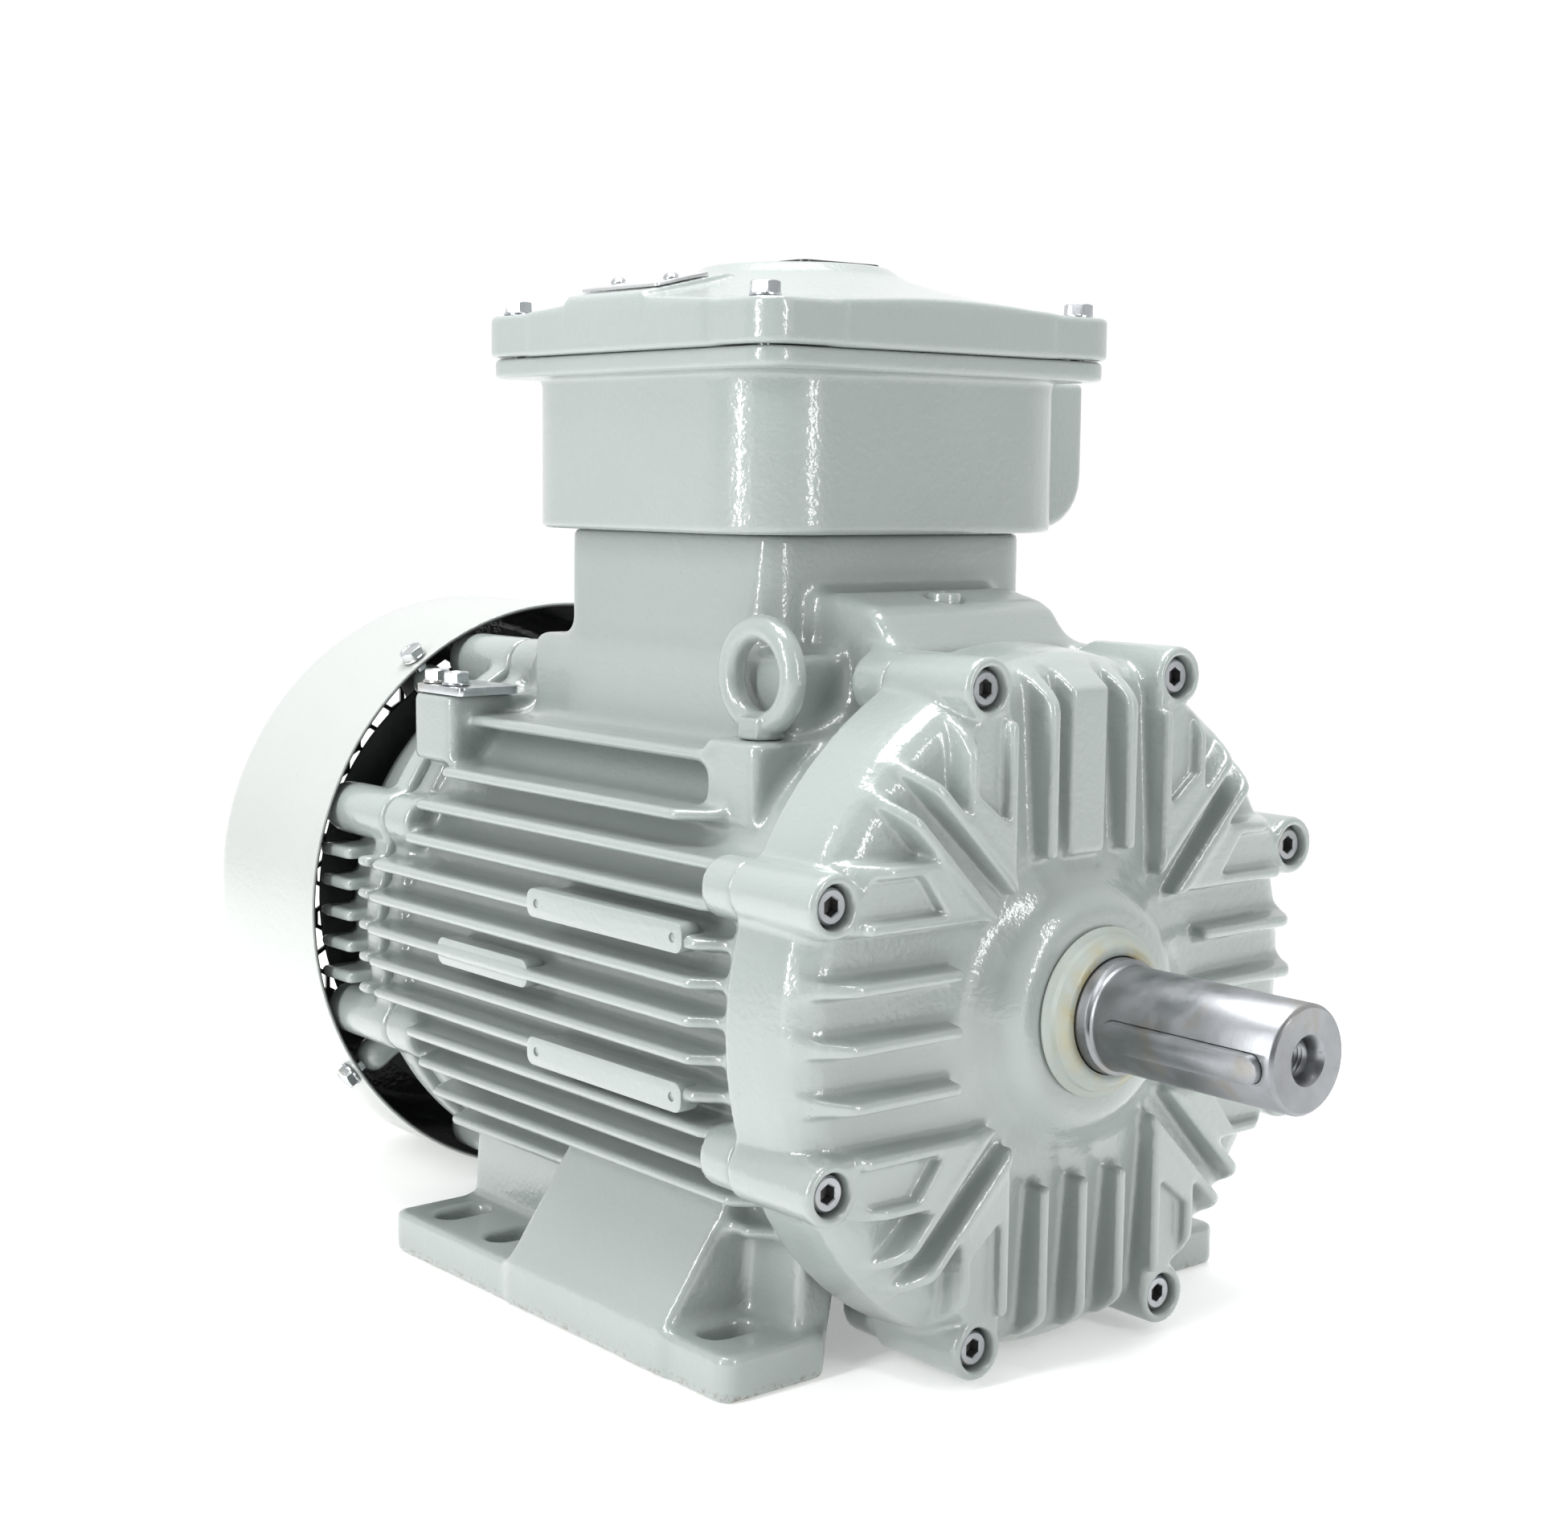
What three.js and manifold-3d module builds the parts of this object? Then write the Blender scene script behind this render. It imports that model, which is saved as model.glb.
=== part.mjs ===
// Foot-mounted, fan-cooled electric motor of frame size 132, as separate solids.
//
// Model axes: x runs along the shaft and is 0 at the shaft shoulder, +x points out of the drive end;
// z is up and 0 on the shaft axis; y is across. The outer group moves this so that the part's own
// origin is on the floor, under the middle of its length.

import * as THREE from 'three';
import { mergeVertices } from 'three/addons/utils/BufferGeometryUtils.js';
import Module from 'manifold-3d';

const wasm = await Module();
wasm.setup();

// ---------------------------------------------------------------- driving dimensions, in millimetres

const SHAFT_HEIGHT = 132;
const GAP = 0.3; // left between pieces that touch

// Sides of round shapes, by size
const SIDES = { large: 32, medium: 16, small: 10, tiny: 6 };

// Shaft extension
const SHAFT_RADIUS = 19;
const SHAFT_LENGTH = 80;
const SHOULDER_RADIUS = 21;
const KEY = { width: 10, height: 8, length: 70, top: 22, end: 76, turn: 95 };

// Feet
const FOOT = { front: -64, rear: -288, inner: 81.4, outer: 129.4, top: -115, corner: 6 };
const FOOT_SLOTS_X = [-89, -229, -267];
const FOOT_SLOT = { y: 108, halfWidth: 6, halfLength: 12 };
const FOOT_WEB = {
  front: -99,
  rear: -201,
  section: [[129.2, -131.5], [129.2, -112.5], [101, -74], [88, -66], [70, -90], [90, -131.5]],
};
const FOOT_WALL = { inset: 7, section: [[93, -130.5], [90, -66], [72, -84], [79, -130.5]] };
const FOOT_RELIEF = { front: -124, rear: -200, height: 3 };

// Stator frame
const FRAME_FRONT = -66;
const FRAME_REAR = -312;
const BARREL_RADIUS = 113;
const BORE_RADIUS = 104.3;
const FIN = { tip: 130, thickness: 4.6, pitch: 13.5, front: -88, rear: -292 };
const FIN_LEVELS = [-6, -5, -4, -3, -2, -1, 0, 1, 2, 3, 4, 5, 6.5]; // in pitches above the shaft axis
const MIDDLE_FINS = 2.5; // fins nearer to the axis than this, in pitches, run on to the rear joint
const TOP_FINS = [-4, -3, -2, -1, 0, 1, 2, 3, 4];
const BOTTOM_FINS = { places: [-2, -1, 0, 1, 2], pitch: 21.6, inset: 4 };
const FIN_ROOT = 100;
const FRONT_FLANGE_RADIUS = 121;
const REAR_FLANGE_RADIUS = 117;
const PLATE_PAD = { front: -92, rear: -189, height: 11, face: 128, corner: 3 };
const PLATE_PAD_ROWS = [
  { z: 28.5, front: PLATE_PAD.front, rear: PLATE_PAD.rear },
  { z: 0, front: PLATE_PAD.rear, rear: -253 },
  { z: -28.5, front: PLATE_PAD.front, rear: PLATE_PAD.rear },
];
const SADDLE = { front: -100, rear: -268, halfWidth: 72, top: 124.5, bottom: 86 };
const NECK = { front: -120.3, rear: -252.2, halfWidth: 69.2, topHalfWidth: 66, top: 167.5, corner: 14 };
const PASSAGE = { front: -150, rear: -222, halfWidth: 27 };
const NOSE = { halfWidth: 46.5, top: 147, topX: -107, frontTop: 142.5, frontX: -88, toeX: -72, toeZ: 127 };
const NOSE_PLUG = { x: -98, radius: 6.4, bottom: 141, top: 146.4, chamfer: 1.2 };
const EYE_BLOCK = { front: -93, rear: -123, outer: 95, top: 94.5, bottom: 65 };
const EARTH_BLOCK = { front: -281, rear: -311, outer: 104, top: 98, bottom: 70 };
const EYE = { x: -108, y: -80, tube: 5, ringRadius: 17.5, neck: 8.2, thread: 4.8, shank: 16, height: 45 };
const EARTH_SCREWS = { x: [-304, -289], y: -96 };
const CLAMP = { bottom: EARTH_BLOCK.top + GAP, thickness: 3.5, overhang: 6, inner: 74 };

// End shields
const SCREWS = 8;
const FIRST_SCREW_ANGLE = Math.PI / SCREWS;
const DE_BOLT_CIRCLE = 127;
const NDE_BOLT_CIRCLE = 116;
const BOSS_RADIUS = 11.3;
const DE_BOSS_FACE = -21.8;
const DE_RIM = { radius: 130, face: -30, lip: 116 };
const HUB = { radius: 36, face: -13, foot: 57, footFace: -25.5 };
const SHIELD_RIB = { face: -17.6, pitch: 20, thickness: 4.6, inner: 58, outer: 122, middlePad: 9 };
const TONGUE = { face: -22, near: 37.5, far: 60.5, start: 48, ridgeEnd: 106, end: 122 };
const TONGUE_POCKET = { near: 42.6, far: 55.5, start: 71, farStart: 82, floor: -22.4 };
const DIAGONAL = { offset: 7, width: 6.5, reach: 86 };
const NDE_REAR = -362;
const NDE_RIM = { radius: 120, length: 12 };
const NDE_RIBS = { places: [-2, -1, 0, 1, 2], front: -336, tip: 121 };
const COWL_LUG_RADIUS = 9;

// Bearings (deep groove, 40 bore, 80 outside, 18 wide)
const BEARING = { bore: 20, outside: 40, width: 18, pitch: 30 };
const BALL = { radius: 5.6, count: 8, groove: 6.8, land: 2.8, cage: 1.8, cageWidth: 8 };
const WAVE_SPRING = { inside: 35, outside: 39.6, thickness: 0.8, waves: 4, rise: 0.35 };
const HUB_BORE = 22.4;
const SPIGOT_BORE = 97;
const DE_BEARING_X = -50;
const NDE_BEARING_X = -340;

// Screws: socket head M8, hexagon head M6
const M8 = { head: 6.5, headLength: 8, shank: 3.9, hole: 4.5, counterbore: 7.6, socket: 3, seatDepth: 11 };
const REAR_SEAT_DEPTH = 9;
const SCREW_LENGTHS = { driveEnd: 42, rearEnd: 50, lid: 23, earth: 14 };
const M6 = { headAcross: 10, headLength: 4.4, shank: 2.9, hole: 3.3, washer: 6 };

// Terminal box
const BOX = { front: -105, rear: -268, right: -82.5, left: 82.5, bottom: 167.8, corner: 32.5 };
const LID = { front: -94.6, rear: -279.4, halfWidth: 90, split: 235.3, top: 252.3, corner: 12 };
const BOX_FLANGE = { thickness: 8, inset: 1.2 };
const BOX_WALL = 6;
const ENTRY_PAD = { front: -134, rear: -239, face: 112, bottom: 169, radius: 22 };
const ENTRIES_X = [-212, -163];
const ENTRY = { z: 199, hole: 12.8, plug: 12.4, head: 16, headLength: 6, plugLength: 20 };
const DOME = { base: 106, flat: 37, top: 271.5, flare: 0.6 };
const LID_BOLT = { x: 79, y: 80 };
const LID_MIDDLE_X = (LID.front + LID.rear) / 2;
const LID_CAVITY = { radius: 62, wall: 4, roofRadius: 36, roof: 9 };
const PLATE_SEAT = { front: -168, rear: -219, outer: 89.8, inner: 50.2, lowZ: 257.15, highZ: 266.35 };
const PLATE_THICKNESS = 1.2;
const LID_PLATE = { halfLength: 24.5, halfWidth: 13, corner: 2, screwX: 17, screwRadius: 3 };
const TOP_PLATE = { x: -182, y: 3, half: 20.5, corner: 4 };
const BOARD = { halfLength: 42, halfWidth: 33, thickness: 12 };
const BARRIERS = { x: [-14, 14], thickness: 3, height: 8 };
const STUDS = { x: [-28, 0, 28], y: [-18, 18], nut: 5.2, nutHeight: 5, radius: 2.5, height: 15 };

// Fan cowl
const COWL = { rim: -350, rear: -445, radius: 131, thickness: 1.6, edge: 14 };
const COWL_SCREWS = 4;
const COWL_SCREW_X = -358;
const COWL_SCREW_TURN = THREE.MathUtils.degToRad(55.5);
const GRILLE = { radius: 102, pitch: 25, across: 21 };
const COWL_SCREW = { collar: 5.6, headHeight: 5, length: 15.4 };

// Rotor and stator core
const CORE = { front: -118, rear: -268, outside: 103.2, bore: 66 };
const STATOR_SLOTS = { count: 18, bottom: 86, halfWidth: 4.2 };
const BARS = { inner: 69, outer: 85.6, halfWidth: 3.8, overhang: 8 };
const COIL_HEAD = { start: 4, front: 30, rear: 26, inside: [69, 71], outside: [94, 84] };
const ROTOR_CORE = { radius: 65.4, ringOutside: 62, ringInside: 44, ringLength: 12 };
const VANES = { count: 6, inner: 46, outer: 60, halfWidth: 2, reach: 26, root: 10 };
const SHAFT = {
  rear: -438,
  fanSeat: 13.6,
  fanShoulder: -372,
  neck: 17,
  body: 24,
  coreSeat: 27,
  coreRear: -286,
  coreFront: -98,
};
const CENTRE_HOLE = { mouth: 9, cone: 6.5, coneLength: 5, thread: 5.3, depth: 28, point: 3 };
const SEAL_PROFILE = [[0, 30.5], [1.1, 31], [2.7, 28.5], [5, 27.5], [7.5, 25]];
const SEAL_LENGTH = 7.9;
const FAN = { front: -385, rear: -425, radius: 108, blades: 7, hub: 24, disc: 4, halfBlade: 1.6, turn: 0.2 };
const FAN_RING = { radius: 18, thickness: 2 };

// ---------------------------------------------------------------- materials

function finish(colour, roughness, metalness) {
  return { color: new THREE.Color(colour), roughness, metalness };
}
const PAINT = finish('#a9b3ae', 0.38, 0.0);
const COWL_PAINT = finish('#c9ceca', 0.4, 0.0);
const STEEL = finish('#b9bcbe', 0.25, 1.0);
const ZINC = finish('#b4b8bb', 0.35, 1.0);
const DARK_STEEL = finish('#63666a', 0.45, 1.0);
const RUBBER = finish('#8f968f', 0.6, 0.0);
const COPPER = finish('#b0643a', 0.35, 1.0);
const ALUMINIUM = finish('#c5c8ca', 0.4, 1.0);
const RESIN = finish('#3b3f42', 0.55, 0.0);
const NYLON = finish('#3f4448', 0.5, 0.0);
const PLATE = finish('#c7c9cb', 0.3, 1.0);

// ---------------------------------------------------------------- solids and booleans

// Turns a closed three.js geometry into a solid, with its faces pointing out.
function solid(geometry) {
  geometry.deleteAttribute('normal');
  geometry.deleteAttribute('uv');
  const merged = mergeVertices(geometry, 1e-4);
  const corners = merged.index.array;
  const place = merged.attributes.position;
  const [a, b, c] = [new THREE.Vector3(), new THREE.Vector3(), new THREE.Vector3()];
  const triangles = [];
  let volume = 0;
  for (let i = 0; i < corners.length; i += 3) {
    const [p, q, r] = corners.slice(i, i + 3);
    if (p === q || q === r || r === p) continue;
    triangles.push([p, q, r]);
    a.fromBufferAttribute(place, p);
    b.fromBufferAttribute(place, q);
    c.fromBufferAttribute(place, r);
    volume += a.dot(b.cross(c));
  }
  const turned = volume < 0 ? triangles.map(([p, q, r]) => [p, r, q]) : triangles;
  return new wasm.Manifold(new wasm.Mesh({
    numProp: 3,
    vertProperties: new Float32Array(place.array),
    triVerts: new Uint32Array(turned.flat()),
  }));
}

const join = (...bodies) => bodies.flat().reduce((whole, body) => whole.add(body));
const cut = (body, ...tools) => tools.flat().reduce((rest, tool) => rest.subtract(tool), body);

const X_AXIS = new THREE.Vector3(1, 0, 0);
const Y_AXIS = new THREE.Vector3(0, 1, 0);
const Z_AXIS = new THREE.Vector3(0, 0, 1);

// An outline drawn in the plane across `axis`, extruded along it. Outline points are (y, z) for
// axis x, (x, z) for axis y and (x, y) for axis z.
function prism(axis, outline, from, to) {
  const corners = outline.map(([p, q]) => (axis === 'y' ? new THREE.Vector2(q, p) : new THREE.Vector2(p, q)));
  const geometry = new THREE.ExtrudeGeometry(new THREE.Shape(corners), {
    depth: to - from,
    bevelEnabled: false,
    curveSegments: 1,
  });
  geometry.translate(0, 0, from);
  const turn = {
    x: [Y_AXIS, Z_AXIS, X_AXIS],
    y: [Z_AXIS, X_AXIS, Y_AXIS],
    z: [X_AXIS, Y_AXIS, Z_AXIS],
  }[axis];
  geometry.applyMatrix4(new THREE.Matrix4().makeBasis(...turn));
  return solid(geometry);
}

// A profile of [along, radius] points turned about `axis` through `centre`. It ends on the axis at
// both ends, or closes on itself.
function turned(axis, profile, sides, centre = [0, 0, 0]) {
  const onAxis = profile[0][1] === 0 && profile[profile.length - 1][1] === 0;
  const points = onAxis ? profile : [...profile, profile[0]];
  const section = points.map(([along, radius]) => new THREE.Vector2(radius, along));
  const geometry = new THREE.LatheGeometry(section, sides);
  const turn = {
    x: [Z_AXIS, X_AXIS, Y_AXIS],
    y: [X_AXIS, Y_AXIS, Z_AXIS],
    z: [Y_AXIS, Z_AXIS, X_AXIS],
  }[axis];
  geometry.applyMatrix4(new THREE.Matrix4().makeBasis(...turn));
  geometry.translate(...centre);
  return solid(geometry);
}

function block([x0, x1], [y0, y1], [z0, z1]) {
  const geometry = new THREE.BoxGeometry(x1 - x0, y1 - y0, z1 - z0);
  geometry.translate((x0 + x1) / 2, (y0 + y1) / 2, (z0 + z1) / 2);
  return solid(geometry);
}

const rod = (axis, centre, radius, from, to, sides = SIDES.medium) =>
  turned(axis, [[from, 0], [from, radius], [to, radius], [to, 0]], sides, centre);

const ring = (axis, outside, inside, from, to, sides = SIDES.large, centre = [0, 0, 0]) =>
  turned(axis, [[from, inside], [from, outside], [to, outside], [to, inside]], sides, centre);

// Points of an arc about (p, q), from one angle to another.
function arc(p, q, radius, from, to, steps) {
  return Array.from({ length: steps + 1 }, (_, i) => {
    const angle = from + ((to - from) * i) / steps;
    return [p + radius * Math.cos(angle), q + radius * Math.sin(angle)];
  });
}

function roundedRectangle(p0, p1, q0, q1, radius, steps = 4) {
  const quarter = Math.PI / 2;
  return [
    ...arc(p1 - radius, q1 - radius, radius, 0, quarter, steps),
    ...arc(p0 + radius, q1 - radius, radius, quarter, 2 * quarter, steps),
    ...arc(p0 + radius, q0 + radius, radius, 2 * quarter, 3 * quarter, steps),
    ...arc(p1 - radius, q0 + radius, radius, 3 * quarter, 4 * quarter, steps),
  ];
}

function hexagon(p, q, across, start = 0) {
  return arc(p, q, across / Math.sqrt(3), start, start + (Math.PI * 5) / 3, 5);
}

const mirrored = (outline) => outline.map(([p, q]) => [-p, q]);

const evenAngles = (count, turn = 0) => (
  Array.from({ length: count }, (_, i) => (i * 2 * Math.PI) / count + turn)
);

// Points [y, z] on a circle about the shaft axis, one for each screw.
function screwCircle(radius) {
  return evenAngles(SCREWS, FIRST_SCREW_ANGLE)
    .map((angle) => [radius * Math.cos(angle), radius * Math.sin(angle)]);
}

// ---------------------------------------------------------------- the assembly

const motor = new THREE.Group();
motor.position.set(-(SHAFT_LENGTH + COWL.rear) / 2, 0, SHAFT_HEIGHT);

function addPiece(name, body, look, parent = motor) {
  const { vertProperties, triVerts } = body.getMesh();
  const geometry = new THREE.BufferGeometry();
  geometry.setAttribute('position', new THREE.BufferAttribute(new Float32Array(vertProperties), 3));
  geometry.setIndex(new THREE.BufferAttribute(new Uint32Array(triVerts), 1));
  geometry.computeVertexNormals();
  const mesh = new THREE.Mesh(geometry, new THREE.MeshStandardMaterial(look));
  mesh.name = name;
  parent.add(mesh);
  return mesh;
}

// ---------------------------------------------------------------- stator frame

const tipAt = (offset) => Math.sqrt(FIN.tip ** 2 - offset ** 2);

// Level fins on both sides. The five middle ones run on to the frame's rear joint.
function sideFins() {
  const half = FIN.thickness / 2;
  return FIN_LEVELS.map((level) => level * FIN.pitch).flatMap((z) => {
    const tip = tipAt(z);
    const middle = Math.abs(z) < MIDDLE_FINS * FIN.pitch;
    const shortened = z > EARTH_BLOCK.bottom - FIN.pitch;
    const front = shortened ? EYE_BLOCK.rear + 2 : FIN.front;
    const rear = middle ? FRAME_REAR + 1 : FIN.rear;
    return [-1, 1].map((side) => block(
      [shortened ? EARTH_BLOCK.front - 2 : rear, front],
      side < 0 ? [-tip, -BARREL_RADIUS / 2] : [BARREL_RADIUS / 2, tip],
      [z - half, z + half],
    ));
  });
}

// Upright fins: on the top behind the saddle, and underneath.
function uprightFins() {
  const half = FIN.thickness / 2;
  const above = TOP_FINS.map((place) => place * FIN.pitch)
    .map((y) => block([FIN.rear, SADDLE.rear + 2], [y - half, y + half], [FIN_ROOT, tipAt(y)]));
  const below = BOTTOM_FINS.places.map((place) => place * BOTTOM_FINS.pitch)
    .map((y) => {
      const tip = BOTTOM_FINS.inset - tipAt(y);
      return block([FIN.rear, FIN.front], [y - half, y + half], [tip, -FIN_ROOT]);
    });
  return [...above, ...below];
}

function platePads() {
  const half = PLATE_PAD.height / 2;
  const root = BARREL_RADIUS - 6;
  return PLATE_PAD_ROWS.flatMap(({ z, front, rear }) => [-1, 1].map((side) => prism(
    'y',
    roundedRectangle(rear, front, z - half, z + half, PLATE_PAD.corner, 1),
    side < 0 ? -PLATE_PAD.face : root,
    side < 0 ? -root : PLATE_PAD.face,
  )));
}

function foot(side) {
  const outline = roundedRectangle(FOOT.rear, FOOT.front, FOOT.inner, FOOT.outer, FOOT.corner, 3);
  const base = prism('z', outline.map(([x, y]) => [x, side * y]), -SHAFT_HEIGHT, FOOT.top);
  const mirror = (points) => (side < 0 ? mirrored(points) : points);
  const slots = FOOT_SLOTS_X.map((x) => prism(
    'z',
    roundedRectangle(
      x - FOOT_SLOT.halfWidth, x + FOOT_SLOT.halfWidth,
      side * FOOT_SLOT.y - FOOT_SLOT.halfLength, side * FOOT_SLOT.y + FOOT_SLOT.halfLength,
      FOOT_SLOT.halfWidth - 0.01, 3,
    ),
    -SHAFT_HEIGHT - 1, FOOT.top + 1,
  ));
  const relief = block(
    [FOOT_RELIEF.rear, FOOT_RELIEF.front],
    side < 0 ? [-FOOT.outer - 1, -FOOT.inner + 1] : [FOOT.inner - 1, FOOT.outer + 1],
    [-SHAFT_HEIGHT - 1, -SHAFT_HEIGHT + FOOT_RELIEF.height],
  );
  const whole = join(
    base,
    prism('x', mirror(FOOT_WALL.section), FOOT.rear + FOOT_WALL.inset, FOOT.front - FOOT_WALL.inset),
    prism('x', mirror(FOOT_WEB.section), FOOT_WEB.rear, FOOT_WEB.front),
  );
  return cut(whole, slots, relief);
}

function neckAndNose() {
  const plan = roundedRectangle(NECK.rear, NECK.front, -NECK.halfWidth, NECK.halfWidth, NECK.corner, 5);
  const taper = [
    [-NECK.halfWidth, 0], [-NECK.halfWidth, SADDLE.top], [-NECK.topHalfWidth, NECK.top],
    [NECK.topHalfWidth, NECK.top], [NECK.halfWidth, SADDLE.top], [NECK.halfWidth, 0],
  ];
  const neck = prism('z', plan, 90, NECK.top).intersect(prism('x', taper, NECK.rear, NECK.front));
  const saddle = prism(
    'x',
    roundedRectangle(-SADDLE.halfWidth, SADDLE.halfWidth, SADDLE.bottom, SADDLE.top, 4, 2),
    SADDLE.rear, SADDLE.front,
  );
  const nose = prism('y', [
    [NECK.front - 4, 100], [NECK.front - 4, NOSE.top + 1], [NOSE.topX, NOSE.top],
    [NOSE.frontX, NOSE.frontTop], [NOSE.toeX, NOSE.toeZ], [NOSE.toeX, 100],
  ], -NOSE.halfWidth, NOSE.halfWidth);
  return [neck, saddle, nose];
}

function buildFrame() {
  const barrel = rod('x', [0, 0, 0], BARREL_RADIUS, FRAME_REAR, FRAME_FRONT, SIDES.large);
  const frontFlange = rod('x', [0, 0, 0], FRONT_FLANGE_RADIUS, FIN.front, FRAME_FRONT, SIDES.large);
  const rearFlange = rod('x', [0, 0, 0], REAR_FLANGE_RADIUS, FRAME_REAR, FIN.rear - 6, SIDES.large);
  const frontLugs = screwCircle(DE_BOLT_CIRCLE - 2)
    .map(([y, z]) => rod('x', [0, y, z], BOSS_RADIUS, FIN.front + 3, FRAME_FRONT, SIDES.small));
  const rearLugs = screwCircle(NDE_BOLT_CIRCLE)
    .map(([y, z]) => rod('x', [0, y, z], BOSS_RADIUS, FRAME_REAR, FIN.rear - 2, SIDES.small));
  const eyeBlock = block(
    [EYE_BLOCK.rear, EYE_BLOCK.front], [-EYE_BLOCK.outer, -50], [EYE_BLOCK.bottom, EYE_BLOCK.top],
  );
  const earthBlock = block(
    [EARTH_BLOCK.rear, EARTH_BLOCK.front], [-EARTH_BLOCK.outer, -60], [EARTH_BLOCK.bottom, EARTH_BLOCK.top],
  );
  const whole = join(
    barrel, frontFlange, rearFlange, frontLugs, rearLugs, sideFins(), uprightFins(), platePads(),
    foot(-1), foot(1), neckAndNose(), eyeBlock, earthBlock,
  );
  const bore = rod('x', [0, 0, 0], BORE_RADIUS, FRAME_REAR - 20, FRAME_FRONT + 20, SIDES.large);
  const passage = block(
    [PASSAGE.rear, PASSAGE.front], [-PASSAGE.halfWidth, PASSAGE.halfWidth], [60, NECK.top + 1],
  );
  const frontHoles = screwCircle(DE_BOLT_CIRCLE)
    .map(([y, z]) => rod('x', [0, y, z], M8.hole, FRAME_FRONT - 19, FRAME_FRONT + 1, SIDES.tiny));
  const rearHoles = screwCircle(NDE_BOLT_CIRCLE)
    .map(([y, z]) => rod('x', [0, y, z], M8.hole, FRAME_REAR - 12, FRAME_REAR + 17, SIDES.tiny));
  const noseHole = rod(
    'z', [NOSE_PLUG.x, 0, 0], NOSE_PLUG.radius + 0.4, NOSE_PLUG.bottom, NOSE.top + 2, SIDES.small,
  );
  const eyeHole = rod(
    'z', [EYE.x, EYE.y, 0], EYE.thread + GAP, EYE_BLOCK.top - EYE.shank - 2, EYE_BLOCK.top + 1, SIDES.small,
  );
  const earthHoleBottom = EARTH_BLOCK.top - SCREW_LENGTHS.earth;
  const earthHoles = EARTH_SCREWS.x.map((x) => rod(
    'z', [x, EARTH_SCREWS.y, 0], M6.hole, earthHoleBottom, EARTH_BLOCK.top + 1, SIDES.tiny,
  ));
  return cut(whole, bore, passage, frontHoles, rearHoles, noseHole, eyeHole, earthHoles);
}

addPiece('frame', buildFrame(), PAINT);

// ---------------------------------------------------------------- drive-end shield

const QUARTERS = [[1, 1], [-1, 1], [1, -1], [-1, -1]];

// An outline in (y, z), drawn for one half quarter, repeated in all eight of them.
function inEveryQuarter(outline) {
  const swapped = outline.map(([p, q]) => [q, p]);
  return QUARTERS.flatMap(([sy, sz]) => (
    [outline, swapped].map((half) => half.map(([y, z]) => [sy * y, sz * z]))
  ));
}

// Flat tongues that carry the bosses, the ridges along their edges, and the pairs of diagonal ribs.
function tonguesAndDiagonals(depth) {
  const { near, far, start, ridgeEnd, end } = TONGUE;
  const { offset, width, reach } = DIAGONAL;
  const inset = far - near;
  const tongue = [[start, near], [end, near], [end, far], [start + inset, far]];
  const ridged = [[start, near], [ridgeEnd, near], [ridgeEnd, far], [start + inset, far]];
  const diagonal = [
    [near + offset - 1, near - 1], [near + offset - 1 + width, near - 1],
    [reach + offset + width, reach], [reach + offset, reach],
  ];
  return [
    ...inEveryQuarter(tongue).map((outline) => prism('x', outline, depth, TONGUE.face)),
    ...[...inEveryQuarter(ridged), ...inEveryQuarter(diagonal)]
      .map((outline) => prism('x', outline, depth, SHIELD_RIB.face)),
  ];
}

function straightRibs(depth) {
  const { face, pitch, thickness, inner, outer, middlePad } = SHIELD_RIB;
  const half = thickness / 2;
  const steps = [-pitch, 0, pitch];
  const sideways = steps.flatMap((z) => [
    block([depth, face], [-outer, -inner], [z - half, z + half]),
    block([depth, face], [inner, outer], [z - half, z + half]),
  ]);
  const below = steps.map((y) => block([depth, face], [y - half, y + half], [-outer, -inner]));
  const above = steps.map((y) => {
    const width = y === 0 ? middlePad : half;
    return block([depth, face], [y - width, y + width], [inner, outer]);
  });
  return [...sideways, ...below, ...above];
}

function tonguePockets() {
  const { near, far, start, farStart, floor } = TONGUE_POCKET;
  const outline = [[start, near], [TONGUE.ridgeEnd + 1, near], [TONGUE.ridgeEnd + 1, far], [farStart, far]];
  return inEveryQuarter(outline).map((points) => prism('x', points, floor, SHIELD_RIB.face + 1));
}

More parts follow.
